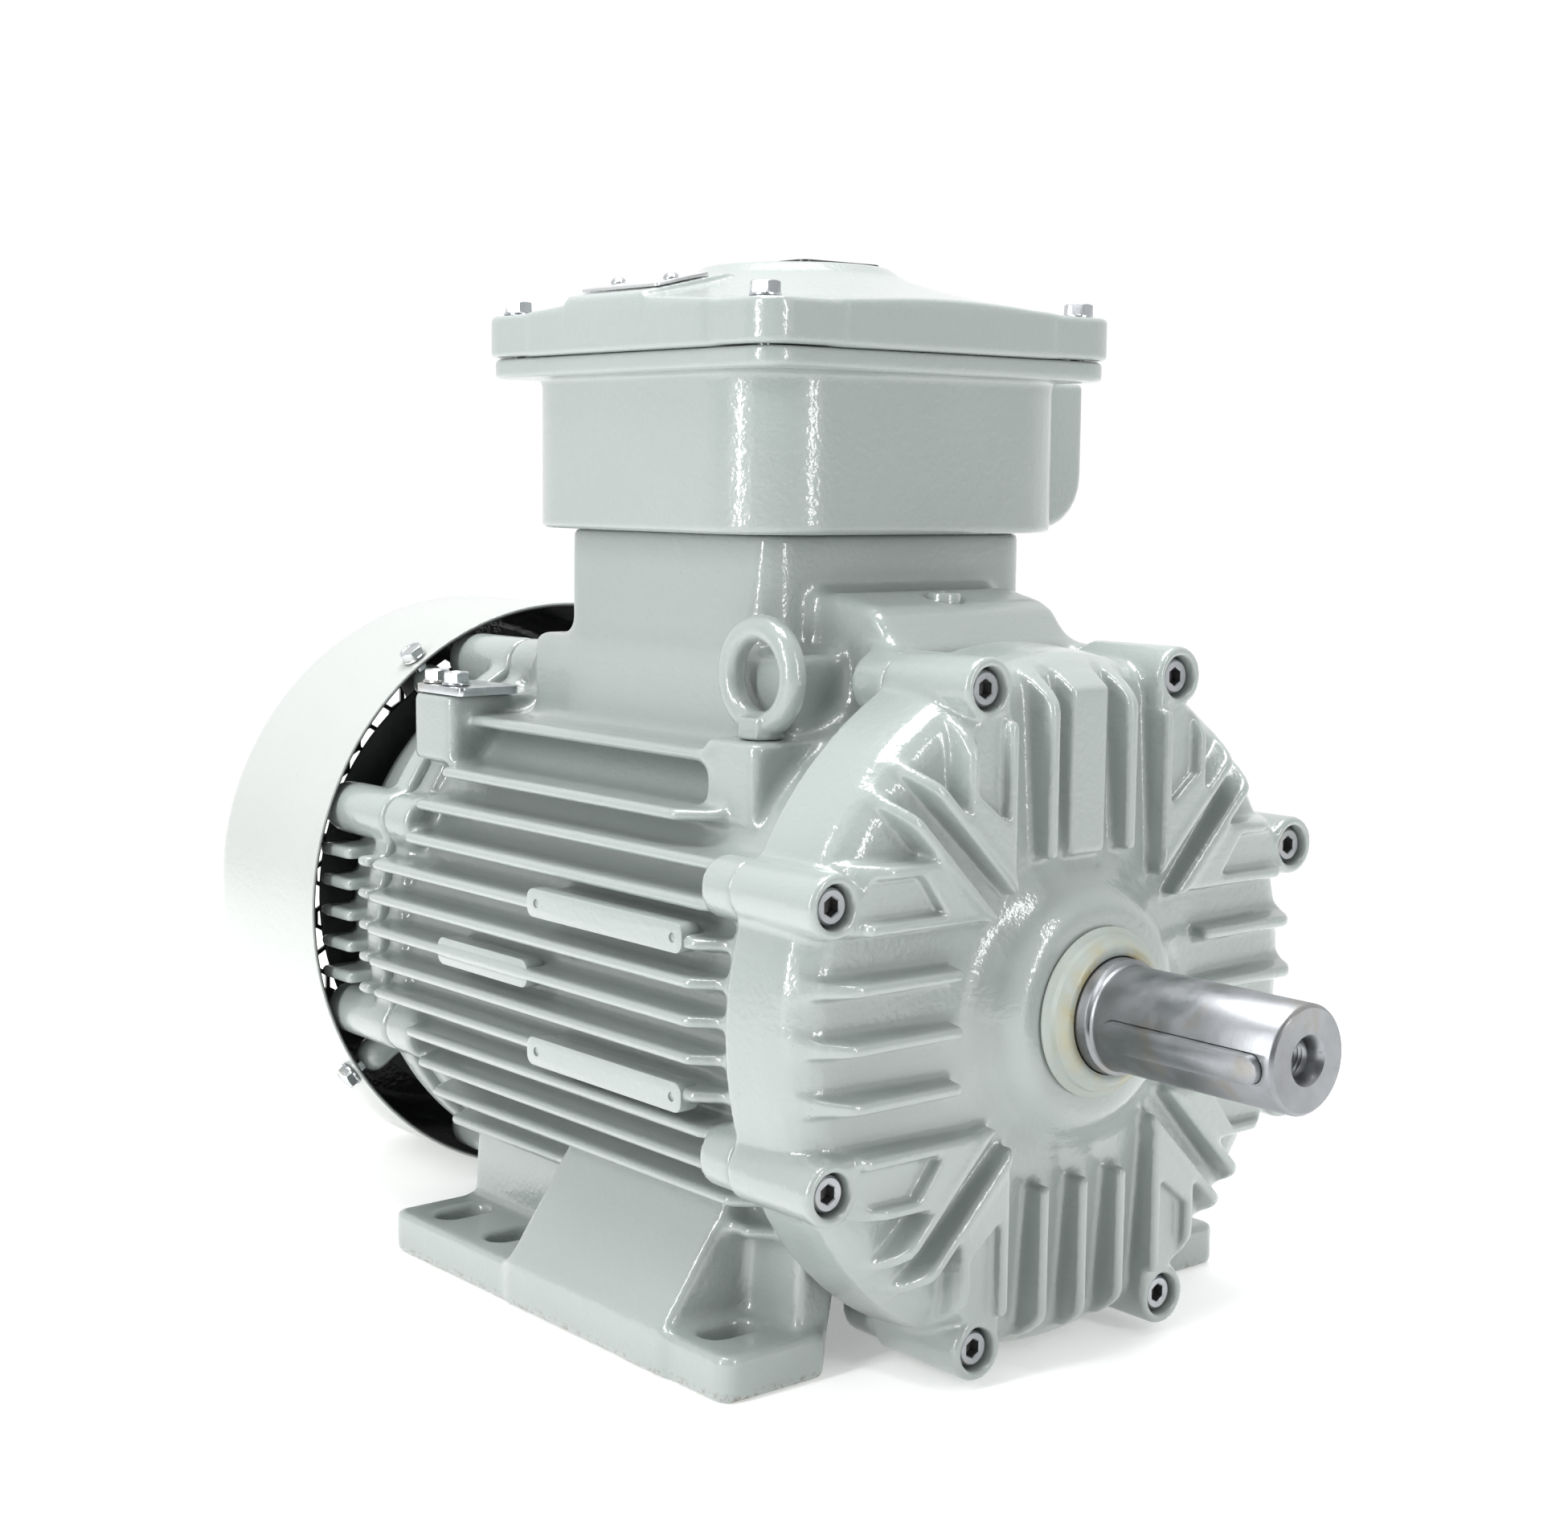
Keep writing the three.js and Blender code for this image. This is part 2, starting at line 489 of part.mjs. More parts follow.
function buildDriveEndShield() {
  const { radius, face, lip } = DE_RIM;
  const joint = FRAME_FRONT + GAP;
  const inside = face - 9;
  const shell = turned('x', [
    [joint, BORE_RADIUS - 1.3], [joint, radius], [face - 8, radius - 3], [face - 2, radius - 8], [face, lip],
    [HUB.footFace, HUB.foot], [HUB.face - 5, HUB.radius + 7], [HUB.face, HUB.radius], [HUB.face, HUB_BORE],
    [DE_BEARING_X + 9.6, HUB_BORE], [DE_BEARING_X + 9.6, BEARING.outside + GAP],
    [DE_BEARING_X - 9, BEARING.outside + GAP], [DE_BEARING_X - 9, BEARING.outside + 9],
    [inside, BEARING.outside + 10], [inside, BORE_RADIUS - 1.3],
  ], SIDES.large);
  const spigot = ring('x', BORE_RADIUS - GAP, SPIGOT_BORE, FRAME_FRONT - 6, inside);
  const bosses = screwCircle(DE_BOLT_CIRCLE)
    .map(([y, z]) => rod('x', [0, y, z], BOSS_RADIUS, joint, DE_BOSS_FACE, SIDES.medium));
  const envelope = turned('x', [
    [inside, 0], [inside, radius - 3.5], [face, radius - 5], [TONGUE.face, lip + 1],
    [SHIELD_RIB.face, lip - 4], [SHIELD_RIB.face + 1, 0],
  ], SIDES.large);
  const ribs = join(tonguesAndDiagonals(face - 6), straightRibs(face - 6)).subtract(join(tonguePockets()));
  const holes = screwCircle(DE_BOLT_CIRCLE)
    .map(([y, z]) => rod('x', [0, y, z], M8.hole, FRAME_FRONT - 1, 0, SIDES.tiny));
  const counterbores = screwCircle(DE_BOLT_CIRCLE)
    .map(([y, z]) => rod('x', [0, y, z], M8.counterbore, DE_BOSS_FACE - M8.seatDepth, 0, SIDES.small));
  return cut(join(shell, spigot, bosses, ribs.intersect(envelope)), holes, counterbores);
}
addPiece('de_shield', buildDriveEndShield(), PAINT);

// ---------------------------------------------------------------- non-drive-end shield

function buildNonDriveEndShield() {
  const { radius, length } = NDE_RIM;
  const joint = FRAME_REAR - GAP;
  const inside = 99;
  const floor = NDE_REAR + 9;
  const bearing = NDE_BEARING_X;
  const seat = BEARING.outside + GAP;
  const shell = turned('x', [
    [joint, inside], [joint, radius], [joint - length, radius], [joint - length - 6, radius - 10],
    [NDE_REAR, radius - 14], [NDE_REAR, HUB_BORE], [bearing - 12, HUB_BORE], [bearing - 12, seat],
    [bearing + 9, seat], [bearing + 9, seat + 8.7], [floor, seat + 8.7], [floor, inside - 1],
  ], SIDES.large);
  const spigot = ring('x', BORE_RADIUS - GAP, inside, joint - length, FRAME_REAR + 5);
  const bosses = screwCircle(NDE_BOLT_CIRCLE)
    .map(([y, z]) => rod('x', [0, y, z], BOSS_RADIUS, NDE_REAR, joint, SIDES.small));
  const half = FIN.thickness / 2;
  const ribs = NDE_RIBS.places.map((place) => place * FIN.pitch).flatMap((z) => [
    block([NDE_REAR, NDE_RIBS.front], [-NDE_RIBS.tip, -FIN_ROOT], [z - half, z + half]),
    block([NDE_REAR, NDE_RIBS.front], [FIN_ROOT, NDE_RIBS.tip], [z - half, z + half]),
  ]);
  const lugEnd = COWL.radius - COWL.thickness - 2;
  const lugs = cowlScrewAngles().map((angle) => (
    radialRod(angle, COWL_LUG_RADIUS, FIN_ROOT, lugEnd, COWL_SCREW_X, SIDES.tiny)
  ));
  const cowlHoles = cowlScrewHoles();
  const holes = screwCircle(NDE_BOLT_CIRCLE)
    .map(([y, z]) => rod('x', [0, y, z], M8.hole, NDE_REAR - 1, FRAME_REAR + 1, SIDES.tiny));
  const seatFloor = NDE_REAR + REAR_SEAT_DEPTH;
  const counterbores = screwCircle(NDE_BOLT_CIRCLE)
    .map(([y, z]) => rod('x', [0, y, z], M8.counterbore, NDE_REAR - 1, seatFloor, SIDES.small));
  return cut(join(shell, spigot, bosses, ribs, lugs), cowlHoles, holes, counterbores);
}

const cowlScrewAngles = () => evenAngles(COWL_SCREWS, Math.PI - COWL_SCREW_TURN);

function cowlScrewHoles() {
  const bottom = COWL.radius - COWL_SCREW.length - 3;
  return cowlScrewAngles()
    .map((angle) => radialRod(angle, M6.hole, bottom, COWL.radius + 9, COWL_SCREW_X, SIDES.tiny));
}

// A rod that points straight out from the shaft axis at an angle in the (y, z) plane.
function radialRod(angle, radius, from, to, x, sides) {
  const geometry = new THREE.LatheGeometry([
    new THREE.Vector2(0, from), new THREE.Vector2(radius, from), new THREE.Vector2(radius, to),
    new THREE.Vector2(0, to),
  ], sides);
  geometry.rotateX(angle);
  geometry.translate(x, 0, 0);
  return solid(geometry);
}
addPiece('nde_shield', buildNonDriveEndShield(), PAINT);

// ---------------------------------------------------------------- shield screws

// A socket-head screw along x: the head's outer face at x = face, pointing to +x or -x.
function socketScrew(y, z, face, direction, length) {
  const seat = face - direction * M8.headLength;
  const tip = seat - direction * length;
  const span = (p, q) => [Math.min(p, q), Math.max(p, q)];
  const head = rod('x', [0, y, z], M8.head, ...span(seat, face), SIDES.small);
  const shank = rod('x', [0, y, z], M8.shank, ...span(tip, seat + direction * 0.5), SIDES.tiny);
  const socket = prism('x', hexagon(y, z, 2 * M8.socket), ...span(face - direction * 4.5, face + direction));
  return cut(join(head, shank), socket);
}

screwCircle(DE_BOLT_CIRCLE).forEach(([y, z], i) => {
  const face = DE_BOSS_FACE - M8.seatDepth + GAP + M8.headLength;
  addPiece(`de_shield_screw_${i + 1}`, socketScrew(y, z, face, 1, SCREW_LENGTHS.driveEnd), ZINC);
});
screwCircle(NDE_BOLT_CIRCLE).forEach(([y, z], i) => {
  const face = NDE_REAR + REAR_SEAT_DEPTH - GAP - M8.headLength;
  addPiece(`nde_shield_screw_${i + 1}`, socketScrew(y, z, face, -1, SCREW_LENGTHS.rearEnd), ZINC);
});

// ---------------------------------------------------------------- eyebolt and earth clamp

function buildEyebolt() {
  const seat = EYE_BLOCK.top + GAP;
  const middle = seat + EYE.height - EYE.ringRadius - EYE.tube;
  const section = arc(0, EYE.ringRadius, EYE.tube, 0, (Math.PI * 2 * 7) / 8, 7);
  const eye = turned('y', section, SIDES.medium, [EYE.x, EYE.y, middle]);
  const neck = turned('z', [
    [seat - EYE.shank, 0], [seat - EYE.shank, EYE.thread], [seat, EYE.thread], [seat, EYE.neck],
    [seat + 6, EYE.neck], [seat + 9, EYE.neck - 2.6], [seat + 9, 0],
  ], SIDES.small, [EYE.x, EYE.y, 0]);
  const eyeRadius = EYE.ringRadius - EYE.tube;
  const eyeOpening = rod('y', [EYE.x, 0, middle], eyeRadius, EYE.y - 20, EYE.y + 20, SIDES.medium);
  return join(eye, cut(neck, eyeOpening));
}
addPiece('eyebolt', buildEyebolt(), PAINT);

// A hexagon-head screw along z with its collar resting on z = seat.
function hexScrew(x, y, seat, length) {
  const collar = rod('z', [x, y, 0], M6.washer, seat, seat + 1, SIDES.small);
  const head = prism('z', hexagon(x, y, M6.headAcross), seat + 0.5, seat + 1 + M6.headLength);
  const shank = rod('z', [x, y, 0], M6.shank, seat - length, seat + 0.5, SIDES.tiny);
  return join(collar, head, shank);
}

function buildEarthClamp() {
  const plate = block(
    [EARTH_BLOCK.rear + 1, EARTH_BLOCK.front + CLAMP.overhang], [-EARTH_BLOCK.outer + 1, -CLAMP.inner],
    [CLAMP.bottom, CLAMP.bottom + CLAMP.thickness],
  );
  const holes = EARTH_SCREWS.x
    .map((x) => rod('z', [x, EARTH_SCREWS.y, 0], M6.hole, CLAMP.bottom - 1, CLAMP.bottom + 6, SIDES.tiny));
  return cut(plate, holes);
}
addPiece('earth_clamp', buildEarthClamp(), ZINC);
EARTH_SCREWS.x.forEach((x, i) => {
  const seat = CLAMP.bottom + CLAMP.thickness + GAP;
  addPiece(`earth_screw_${i + 1}`, hexScrew(x, EARTH_SCREWS.y, seat, SCREW_LENGTHS.earth), ZINC);
});

function buildNosePlug() {
  const { x, radius, bottom, top, chamfer } = NOSE_PLUG;
  return turned('z', [
    [bottom + GAP, 0], [bottom + GAP, radius], [top - chamfer, radius], [top, radius - chamfer], [top, 0],
  ], SIDES.small, [x, 0, 0]);
}
addPiece('nose_plug', buildNosePlug(), PAINT);

// ---------------------------------------------------------------- terminal box

const lidBoltPlaces = [[-1, -1], [1, -1], [1, 1], [-1, 1]]
  .map(([sx, sy]) => [LID_MIDDLE_X + sx * LID_BOLT.x, sy * LID_BOLT.y]);

const lidBoltHoles = (bottom, top) => lidBoltPlaces
  .map(([x, y]) => rod('z', [x, y, 0], M6.hole, bottom - 1, top + 1, SIDES.tiny));

function buildTerminalBox() {
  const flangeBottom = LID.split - BOX_FLANGE.thickness;
  const bodyPlan = roundedRectangle(BOX.rear, BOX.front, BOX.right, BOX.left, BOX.corner, 4);
  const flangePlan = roundedRectangle(
    LID.rear + BOX_FLANGE.inset, LID.front - BOX_FLANGE.inset,
    -LID.halfWidth + BOX_FLANGE.inset, LID.halfWidth - BOX_FLANGE.inset, LID.corner, 3,
  );
  const body = prism('z', bodyPlan, BOX.bottom, flangeBottom + 1);
  const flange = prism('z', flangePlan, flangeBottom, LID.split);
  const pad = prism('x', [
    [BOX.left - 20, ENTRY_PAD.bottom], ...arc(
      ENTRY_PAD.face - ENTRY_PAD.radius, ENTRY_PAD.bottom + ENTRY_PAD.radius, ENTRY_PAD.radius,
      -Math.PI / 2, 0, 4,
    ), [ENTRY_PAD.face, flangeBottom - 1], [BOX.left - 20, flangeBottom - 1],
  ], ENTRY_PAD.rear, ENTRY_PAD.front);
  const cavity = prism('z', roundedRectangle(
    BOX.rear + BOX_WALL, BOX.front - BOX_WALL, BOX.right + BOX_WALL, BOX.left - BOX_WALL,
    BOX.corner - BOX_WALL, 3,
  ), BOX.bottom + BOX_WALL, LID.split + 1);
  const passage = block(
    [PASSAGE.rear, PASSAGE.front], [-PASSAGE.halfWidth, PASSAGE.halfWidth], [BOX.bottom - 1, BOX.bottom + 10],
  );
  const entries = ENTRIES_X
    .map((x) => rod('y', [x, 0, ENTRY.z], ENTRY.hole, BOX.left - 12, ENTRY_PAD.face + 1, SIDES.medium));
  return cut(join(body, flange, pad), cavity, passage, entries, lidBoltHoles(flangeBottom, LID.split));
}
addPiece('terminal_box', buildTerminalBox(), PAINT);

function buildLid() {
  const bottom = LID.split + GAP;
  const plan = roundedRectangle(LID.rear, LID.front, -LID.halfWidth, LID.halfWidth, LID.corner, 3);
  const slab = prism('z', plan, bottom, LID.top);
  const rise = DOME.top - LID.top;
  const capSteps = 3;
  const cap = Array.from({ length: capSteps + 1 }, (_, i) => {
    const radius = DOME.base - ((DOME.base - DOME.flat) * i) / capSteps;
    const share = (radius - DOME.flat) / (DOME.base - DOME.flat);
    return [LID.top + rise * (1 - share ** DOME.flare), radius];
  });
  const wholeDome = [[LID.top - 2, 0], [LID.top - 2, DOME.base], ...cap, [DOME.top, 0]];
  const dome = turned('z', wholeDome, SIDES.large, [LID_MIDDLE_X, 0, 0])
    .intersect(prism('z', plan, bottom, DOME.top + 1));
  const seat = prism('x', [
    [-PLATE_SEAT.outer, LID.top - 2], [-PLATE_SEAT.outer, PLATE_SEAT.lowZ],
    [-PLATE_SEAT.inner, PLATE_SEAT.highZ], [-PLATE_SEAT.inner, LID.top - 2],
  ], PLATE_SEAT.rear, PLATE_SEAT.front);
  const { radius: cavityRadius, wall, roofRadius, roof } = LID_CAVITY;
  const cavity = turned('z', [
    [bottom - 1, 0], [bottom - 1, cavityRadius], [LID.top - wall, cavityRadius],
    [DOME.top - roof, roofRadius], [DOME.top - roof, 0],
  ], SIDES.medium, [LID_MIDDLE_X, 0, 0]);
  return cut(join(slab, dome, seat), cavity, lidBoltHoles(bottom, LID.top));
}
addPiece('terminal_box_lid', buildLid(), PAINT);

lidBoltPlaces.forEach(([x, y], i) => {
  addPiece(`lid_bolt_${i + 1}`, hexScrew(x, y, LID.top + GAP, SCREW_LENGTHS.lid), ZINC);
});

// The blank plate on the sloping seat, and its two round-headed screws.
const seatSlope = Math.atan2(PLATE_SEAT.highZ - PLATE_SEAT.lowZ, PLATE_SEAT.outer - PLATE_SEAT.inner);
const seatGroup = new THREE.Group();
seatGroup.position.set(
  (PLATE_SEAT.front + PLATE_SEAT.rear) / 2,
  -(PLATE_SEAT.outer + PLATE_SEAT.inner) / 2,
  (PLATE_SEAT.lowZ + PLATE_SEAT.highZ) / 2,
);
seatGroup.rotation.x = seatSlope;
motor.add(seatGroup);

function buildLidPlate() {
  const { halfLength, halfWidth, corner } = LID_PLATE;
  const outline = roundedRectangle(-halfLength, halfLength, -halfWidth, halfWidth, corner, 2);
  return prism('z', outline, GAP, GAP + PLATE_THICKNESS);
}
addPiece('lid_plate', buildLidPlate(), PLATE, seatGroup);

[-1, 1].forEach((side, i) => {
  const under = 2 * GAP + PLATE_THICKNESS;
  const radius = LID_PLATE.screwRadius;
  addPiece(`lid_plate_screw_${i + 1}`, turned('z', [
    [under, 0], [under, radius], [under + 1.2, radius * 0.8], [under + 1.9, radius * 0.4], [under + 2, 0],
  ], SIDES.small, [side * LID_PLATE.screwX, 0, 0]), ZINC, seatGroup);
});

function buildTopPlate() {
  const { x, y, half, corner } = TOP_PLATE;
  const outline = roundedRectangle(x - half, x + half, y - half, y + half, corner, 3);
  return prism('z', outline, DOME.top + GAP, DOME.top + GAP + PLATE_THICKNESS);
}
addPiece('lid_top_plate', buildTopPlate(), PLATE);

function buildTerminalBoard() {
  const bottom = BOX.bottom + BOX_WALL + GAP;
  const top = bottom + BOARD.thickness;
  const middle = (PASSAGE.front + PASSAGE.rear) / 2;
  const across = [-BOARD.halfWidth, BOARD.halfWidth];
  const board = block([middle - BOARD.halfLength, middle + BOARD.halfLength], across, [bottom, top]);
  const half = BARRIERS.thickness / 2;
  const barriers = BARRIERS.x.map((x) => (
    block([middle + x - half, middle + x + half], across, [top - 1, top + BARRIERS.height])
  ));
  const stud = [
    [top - 1, 0], [top - 1, STUDS.nut], [top + STUDS.nutHeight, STUDS.nut],
    [top + STUDS.nutHeight, STUDS.radius], [top + STUDS.height, STUDS.radius], [top + STUDS.height, 0],
  ];
  const studs = STUDS.x.flatMap((x) => STUDS.y.map((y) => turned('z', stud, SIDES.tiny, [middle + x, y, 0])));
  return join(board, barriers, studs);
}
addPiece('terminal_board', buildTerminalBoard(), RESIN);

ENTRIES_X.forEach((x, i) => {
  const face = ENTRY_PAD.face + GAP;
  const head = prism('y', hexagon(x, ENTRY.z, 2 * ENTRY.head), face, face + ENTRY.headLength);
  const body = rod('y', [x, 0, ENTRY.z], ENTRY.plug, face - ENTRY.plugLength, face + 1, SIDES.medium);
  addPiece(`entry_plug_${i + 1}`, join(head, body), ZINC);
});

// ---------------------------------------------------------------- stator core and winding

// A bar that runs along x and points out from the shaft axis at an angle in the (y, z) plane.
function spoke(angle, inner, outer, halfWidth, from, to) {
  const along = new THREE.Vector2(Math.cos(angle), Math.sin(angle));
  const across = new THREE.Vector2(-along.y, along.x);
  const corner = (radius, side) => [
    along.x * radius + across.x * side * halfWidth, along.y * radius + across.y * side * halfWidth,
  ];
  return prism('x', [corner(inner, -1), corner(outer, -1), corner(outer, 1), corner(inner, 1)], from, to);
}

const slotAngles = evenAngles(STATOR_SLOTS.count);

function buildStatorCore() {
  const stack = ring('x', CORE.outside, CORE.bore, CORE.rear, CORE.front);
  const { bottom, halfWidth } = STATOR_SLOTS;
  return cut(stack, slotAngles.map((angle) => (
    spoke(angle, CORE.bore - 2, bottom, halfWidth, CORE.rear - 1, CORE.front + 1)
  )));
}

function buildWinding() {
  const { inner, outer, halfWidth, overhang } = BARS;
  const bars = slotAngles.map((angle) => (
    spoke(angle, inner, outer, halfWidth, CORE.rear - overhang, CORE.front + overhang)
  ));
  const { inside, outside } = COIL_HEAD;
  const coilHead = (near, far) => turned('x', [
    [near, inside[0]], [far, inside[1]], [far, outside[1]], [near, outside[0]],
  ], STATOR_SLOTS.count);
  return join(
    bars,
    coilHead(CORE.front + COIL_HEAD.start, CORE.front + COIL_HEAD.front),
    coilHead(CORE.rear - COIL_HEAD.start, CORE.rear - COIL_HEAD.rear),
  );
}
addPiece('stator_core', buildStatorCore(), DARK_STEEL);
addPiece('stator_winding', buildWinding(), COPPER);

// ---------------------------------------------------------------- bearings

function bearingRings(x) {
  const { bore, outside, width, pitch } = BEARING;
  const { land, groove } = BALL;
  const half = width / 2;
  const above = arc(x, pitch, groove, 0, Math.PI, 4).reverse();
  const below = above.map(([p, q]) => [p, 2 * pitch - q]);
  const race = (points) => points.filter(([, q]) => Math.abs(q - pitch) > land);
  const outer = turned('x', [
    [x - half, outside], [x - half, pitch + land], ...race(above), [x + half, pitch + land],
    [x + half, outside],
  ], SIDES.large);
  const inner = turned('x', [
    [x - half, bore + GAP], [x - half, pitch - land], ...race(below), [x + half, pitch - land],
    [x + half, bore + GAP],
  ], SIDES.medium);
  return { outer, inner };
}

function bearingCage(x) {
  const { radius, count, cage, cageWidth } = BALL;
  const cageRing = ring(
    'x', BEARING.pitch + cage, BEARING.pitch - cage, x - cageWidth / 2, x + cageWidth / 2, SIDES.medium,
  );
  const balls = evenAngles(count).map((angle) => {
    const geometry = new THREE.SphereGeometry(radius, SIDES.tiny, 4);
    geometry.translate(x, BEARING.pitch * Math.cos(angle), BEARING.pitch * Math.sin(angle));
    return solid(geometry);
  });
  return join(cageRing, balls);
}

[['de', DE_BEARING_X], ['nde', NDE_BEARING_X]].forEach(([end, x]) => {
  const { outer, inner } = bearingRings(x);
  addPiece(`bearing_${end}_outer`, outer, STEEL);
  addPiece(`bearing_${end}_inner`, inner, STEEL);
  addPiece(`bearing_${end}_cage`, bearingCage(x), STEEL);
});

// A closed ring bent into four waves, between the non-drive-end bearing and its seat.
function buildWaveSpring() {
  const { inside, outside, thickness, waves, rise } = WAVE_SPRING;
  const middle = NDE_BEARING_X - BEARING.width / 2 - 1.25;
  const geometry = new THREE.LatheGeometry([
    [0, inside], [0, outside], [thickness, outside], [thickness, inside], [0, inside],
  ].map(([along, radius]) => new THREE.Vector2(radius, along)), SIDES.large);
  const place = geometry.attributes.position;
  for (let i = 0; i < place.count; i += 1) {
    const angle = Math.atan2(place.getZ(i), place.getX(i));
    place.setY(i, place.getY(i) - thickness / 2 + rise * Math.cos(waves * angle));
  }
  geometry.applyMatrix4(new THREE.Matrix4().makeBasis(Z_AXIS, X_AXIS, Y_AXIS));
  geometry.translate(middle, 0, 0);
  return solid(geometry);
}
addPiece('wave_spring', buildWaveSpring(), DARK_STEEL);

// ---------------------------------------------------------------- rotor

function buildShaft() {
  const { rear, fanSeat, fanShoulder, neck, body: middle, coreSeat, coreRear, coreFront } = SHAFT;
  const { mouth, cone, coneLength, thread, depth, point } = CENTRE_HOLE;
  const half = BEARING.width / 2;
  const chamfer = 1.4;
  const profile = [
    [rear, 0], [rear, fanSeat - 1], [rear + 1, fanSeat], [fanShoulder, fanSeat], [fanShoulder, neck],
    [NDE_BEARING_X - half + 1, neck], [NDE_BEARING_X - half + 1, BEARING.bore],
    [NDE_BEARING_X + half, BEARING.bore], [NDE_BEARING_X + half, middle], [coreRear, middle],
    [coreRear, coreSeat], [coreFront, coreSeat], [coreFront, middle], [DE_BEARING_X - half, middle],
    [DE_BEARING_X - half, BEARING.bore], [DE_BEARING_X + half + 3, BEARING.bore],
    [DE_BEARING_X + half + 3, SHOULDER_RADIUS], [-1, SHOULDER_RADIUS], [0, SHOULDER_RADIUS - 1],
    [0.6, SHAFT_RADIUS], [SHAFT_LENGTH - chamfer, SHAFT_RADIUS], [SHAFT_LENGTH, SHAFT_RADIUS - chamfer],
    [SHAFT_LENGTH, mouth], [SHAFT_LENGTH - coneLength, cone], [SHAFT_LENGTH - coneLength - 1, thread],
    [SHAFT_LENGTH - depth, thread], [SHAFT_LENGTH - depth - point, 0],
  ];
  const body = turned('x', profile, SIDES.medium);
  const width = KEY.width / 2 + GAP;
  const keyway = prism('z', roundedRectangle(
    KEY.end - KEY.length - GAP, KEY.end + GAP, -width, width, width - 0.01, 4,
  ), KEY.top - KEY.height - GAP, KEY.top + 2);
  return cut(body, keyway.rotate([KEY.turn, 0, 0]));
}

const rotor = new THREE.Group();
motor.add(rotor);
addPiece('shaft', buildShaft(), STEEL, rotor);

const keyHalf = KEY.width / 2;
const key = prism('z', roundedRectangle(
  KEY.end - KEY.length, KEY.end, -keyHalf, keyHalf, keyHalf - 0.01, 4,
), KEY.top - KEY.height, KEY.top);
addPiece('shaft_key', key.rotate([KEY.turn, 0, 0]), STEEL, rotor);

function buildSeal() {
  const face = HUB.face + GAP + 0.2;
  const inside = SHOULDER_RADIUS + GAP;
  const profile = [[0, inside], ...SEAL_PROFILE, [SEAL_LENGTH, inside]];
  return turned('x', profile.map(([along, radius]) => [face + along, radius]), SIDES.medium);
}
addPiece('shaft_seal', buildSeal(), RUBBER, rotor);

function buildRotorCore() {
  const { radius, ringOutside, ringInside, ringLength } = ROTOR_CORE;
  const { count, inner, outer, halfWidth, reach, root } = VANES;
  const core = ring('x', radius, SHAFT.coreSeat + GAP, CORE.rear, CORE.front, SIDES.medium);
  const rings = [[CORE.front - 1, CORE.front + ringLength + 1], [CORE.rear - ringLength - 1, CORE.rear + 1]]
    .map(([from, to]) => ring('x', ringOutside, ringInside, from, to, SIDES.medium));
  const vanes = evenAngles(count).flatMap((angle) => [
    spoke(angle, inner, outer, halfWidth, CORE.front + root, CORE.front + reach),
    spoke(angle, inner, outer, halfWidth, CORE.rear - reach, CORE.rear - root),
  ]);
  return join(core, rings, vanes);
}
addPiece('rotor_core', buildRotorCore(), ALUMINIUM, rotor);

function buildFan() {
  const { front, rear, radius, blades, hub, disc, halfBlade, turn } = FAN;
  const bore = SHAFT.fanSeat + GAP;
  const vanes = evenAngles(blades, turn)
    .map((angle) => spoke(angle, hub - 4, radius, halfBlade, rear, front - disc / 2));
  return join(
    ring('x', hub, bore, rear, front, SIDES.medium), ring('x', radius, hub - 4, front - disc, front), vanes,
  );
}
addPiece('fan', buildFan(), NYLON, rotor);

function buildFanRing() {
  const front = FAN.rear - GAP;
  return ring('x', FAN_RING.radius, SHAFT.fanSeat + GAP, front - FAN_RING.thickness, front, SIDES.medium);
}
addPiece('fan_ring', buildFanRing(), DARK_STEEL, rotor);

// ---------------------------------------------------------------- fan cowl

function grilleHoles() {
  const { radius, pitch, across } = GRILLE;
  const rows = Math.ceil(radius / pitch) + 1;
  const holes = [];
  for (let row = -rows; row <= rows; row += 1) {
    for (let column = -rows; column <= rows; column += 1) {
      const y = (column + (row % 2) / 2) * pitch;
      const z = (row * pitch * Math.sqrt(3)) / 2;
      if (Math.hypot(y, z) > radius) continue;
      const outline = hexagon(y, z, across, Math.PI / 6);
      holes.push(prism('x', outline, COWL.rear - 1, COWL.rear + COWL.thickness + 1));
    }
  }
  return holes;
}

function buildCowl() {
  const { rim, rear, radius, thickness, edge } = COWL;
  const outer = arc(rear + edge, radius - edge, edge, Math.PI / 2, Math.PI, 3);
  const inner = arc(rear + edge, radius - edge, edge - thickness, Math.PI, Math.PI / 2, 3);
  const shell = turned('x', [
    [rear, 0], ...outer.reverse(), [rim, radius], [rim, radius - thickness], ...inner.reverse(),
    [rear + thickness, 0],
  ], SIDES.large);
  return cut(shell, grilleHoles(), cowlScrewHoles());
}
addPiece('fan_cowl', buildCowl(), COWL_PAINT);

cowlScrewAngles().forEach((angle, i) => {
  const seat = COWL.radius + GAP + 0.1;
  const { collar: collarRadius, headHeight, length } = COWL_SCREW;
  const collar = radialRod(angle, collarRadius, seat, seat + 1, COWL_SCREW_X, SIDES.small);
  const head = radialRod(angle, M6.headAcross / Math.sqrt(3), seat + 0.5, seat + headHeight, COWL_SCREW_X, 6);
  const shank = radialRod(angle, M6.shank, seat - length, seat + 0.5, COWL_SCREW_X, SIDES.tiny);
  addPiece(`cowl_screw_${i + 1}`, join(collar, head, shank), ZINC);
});

export default motor;
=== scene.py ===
"""Looks of a foot-mounted, fan-cooled electric motor, built around its CAD frame.

Lengths in the shapes are millimetres about the shaft shoulder: x = 0 there and +x out of the drive end,
z = 0 on the shaft axis, y across. place() brings them into the part frame, in metres.
"""

import math

import bmesh
import bpy
import numpy as np
from mathutils import Matrix, Vector


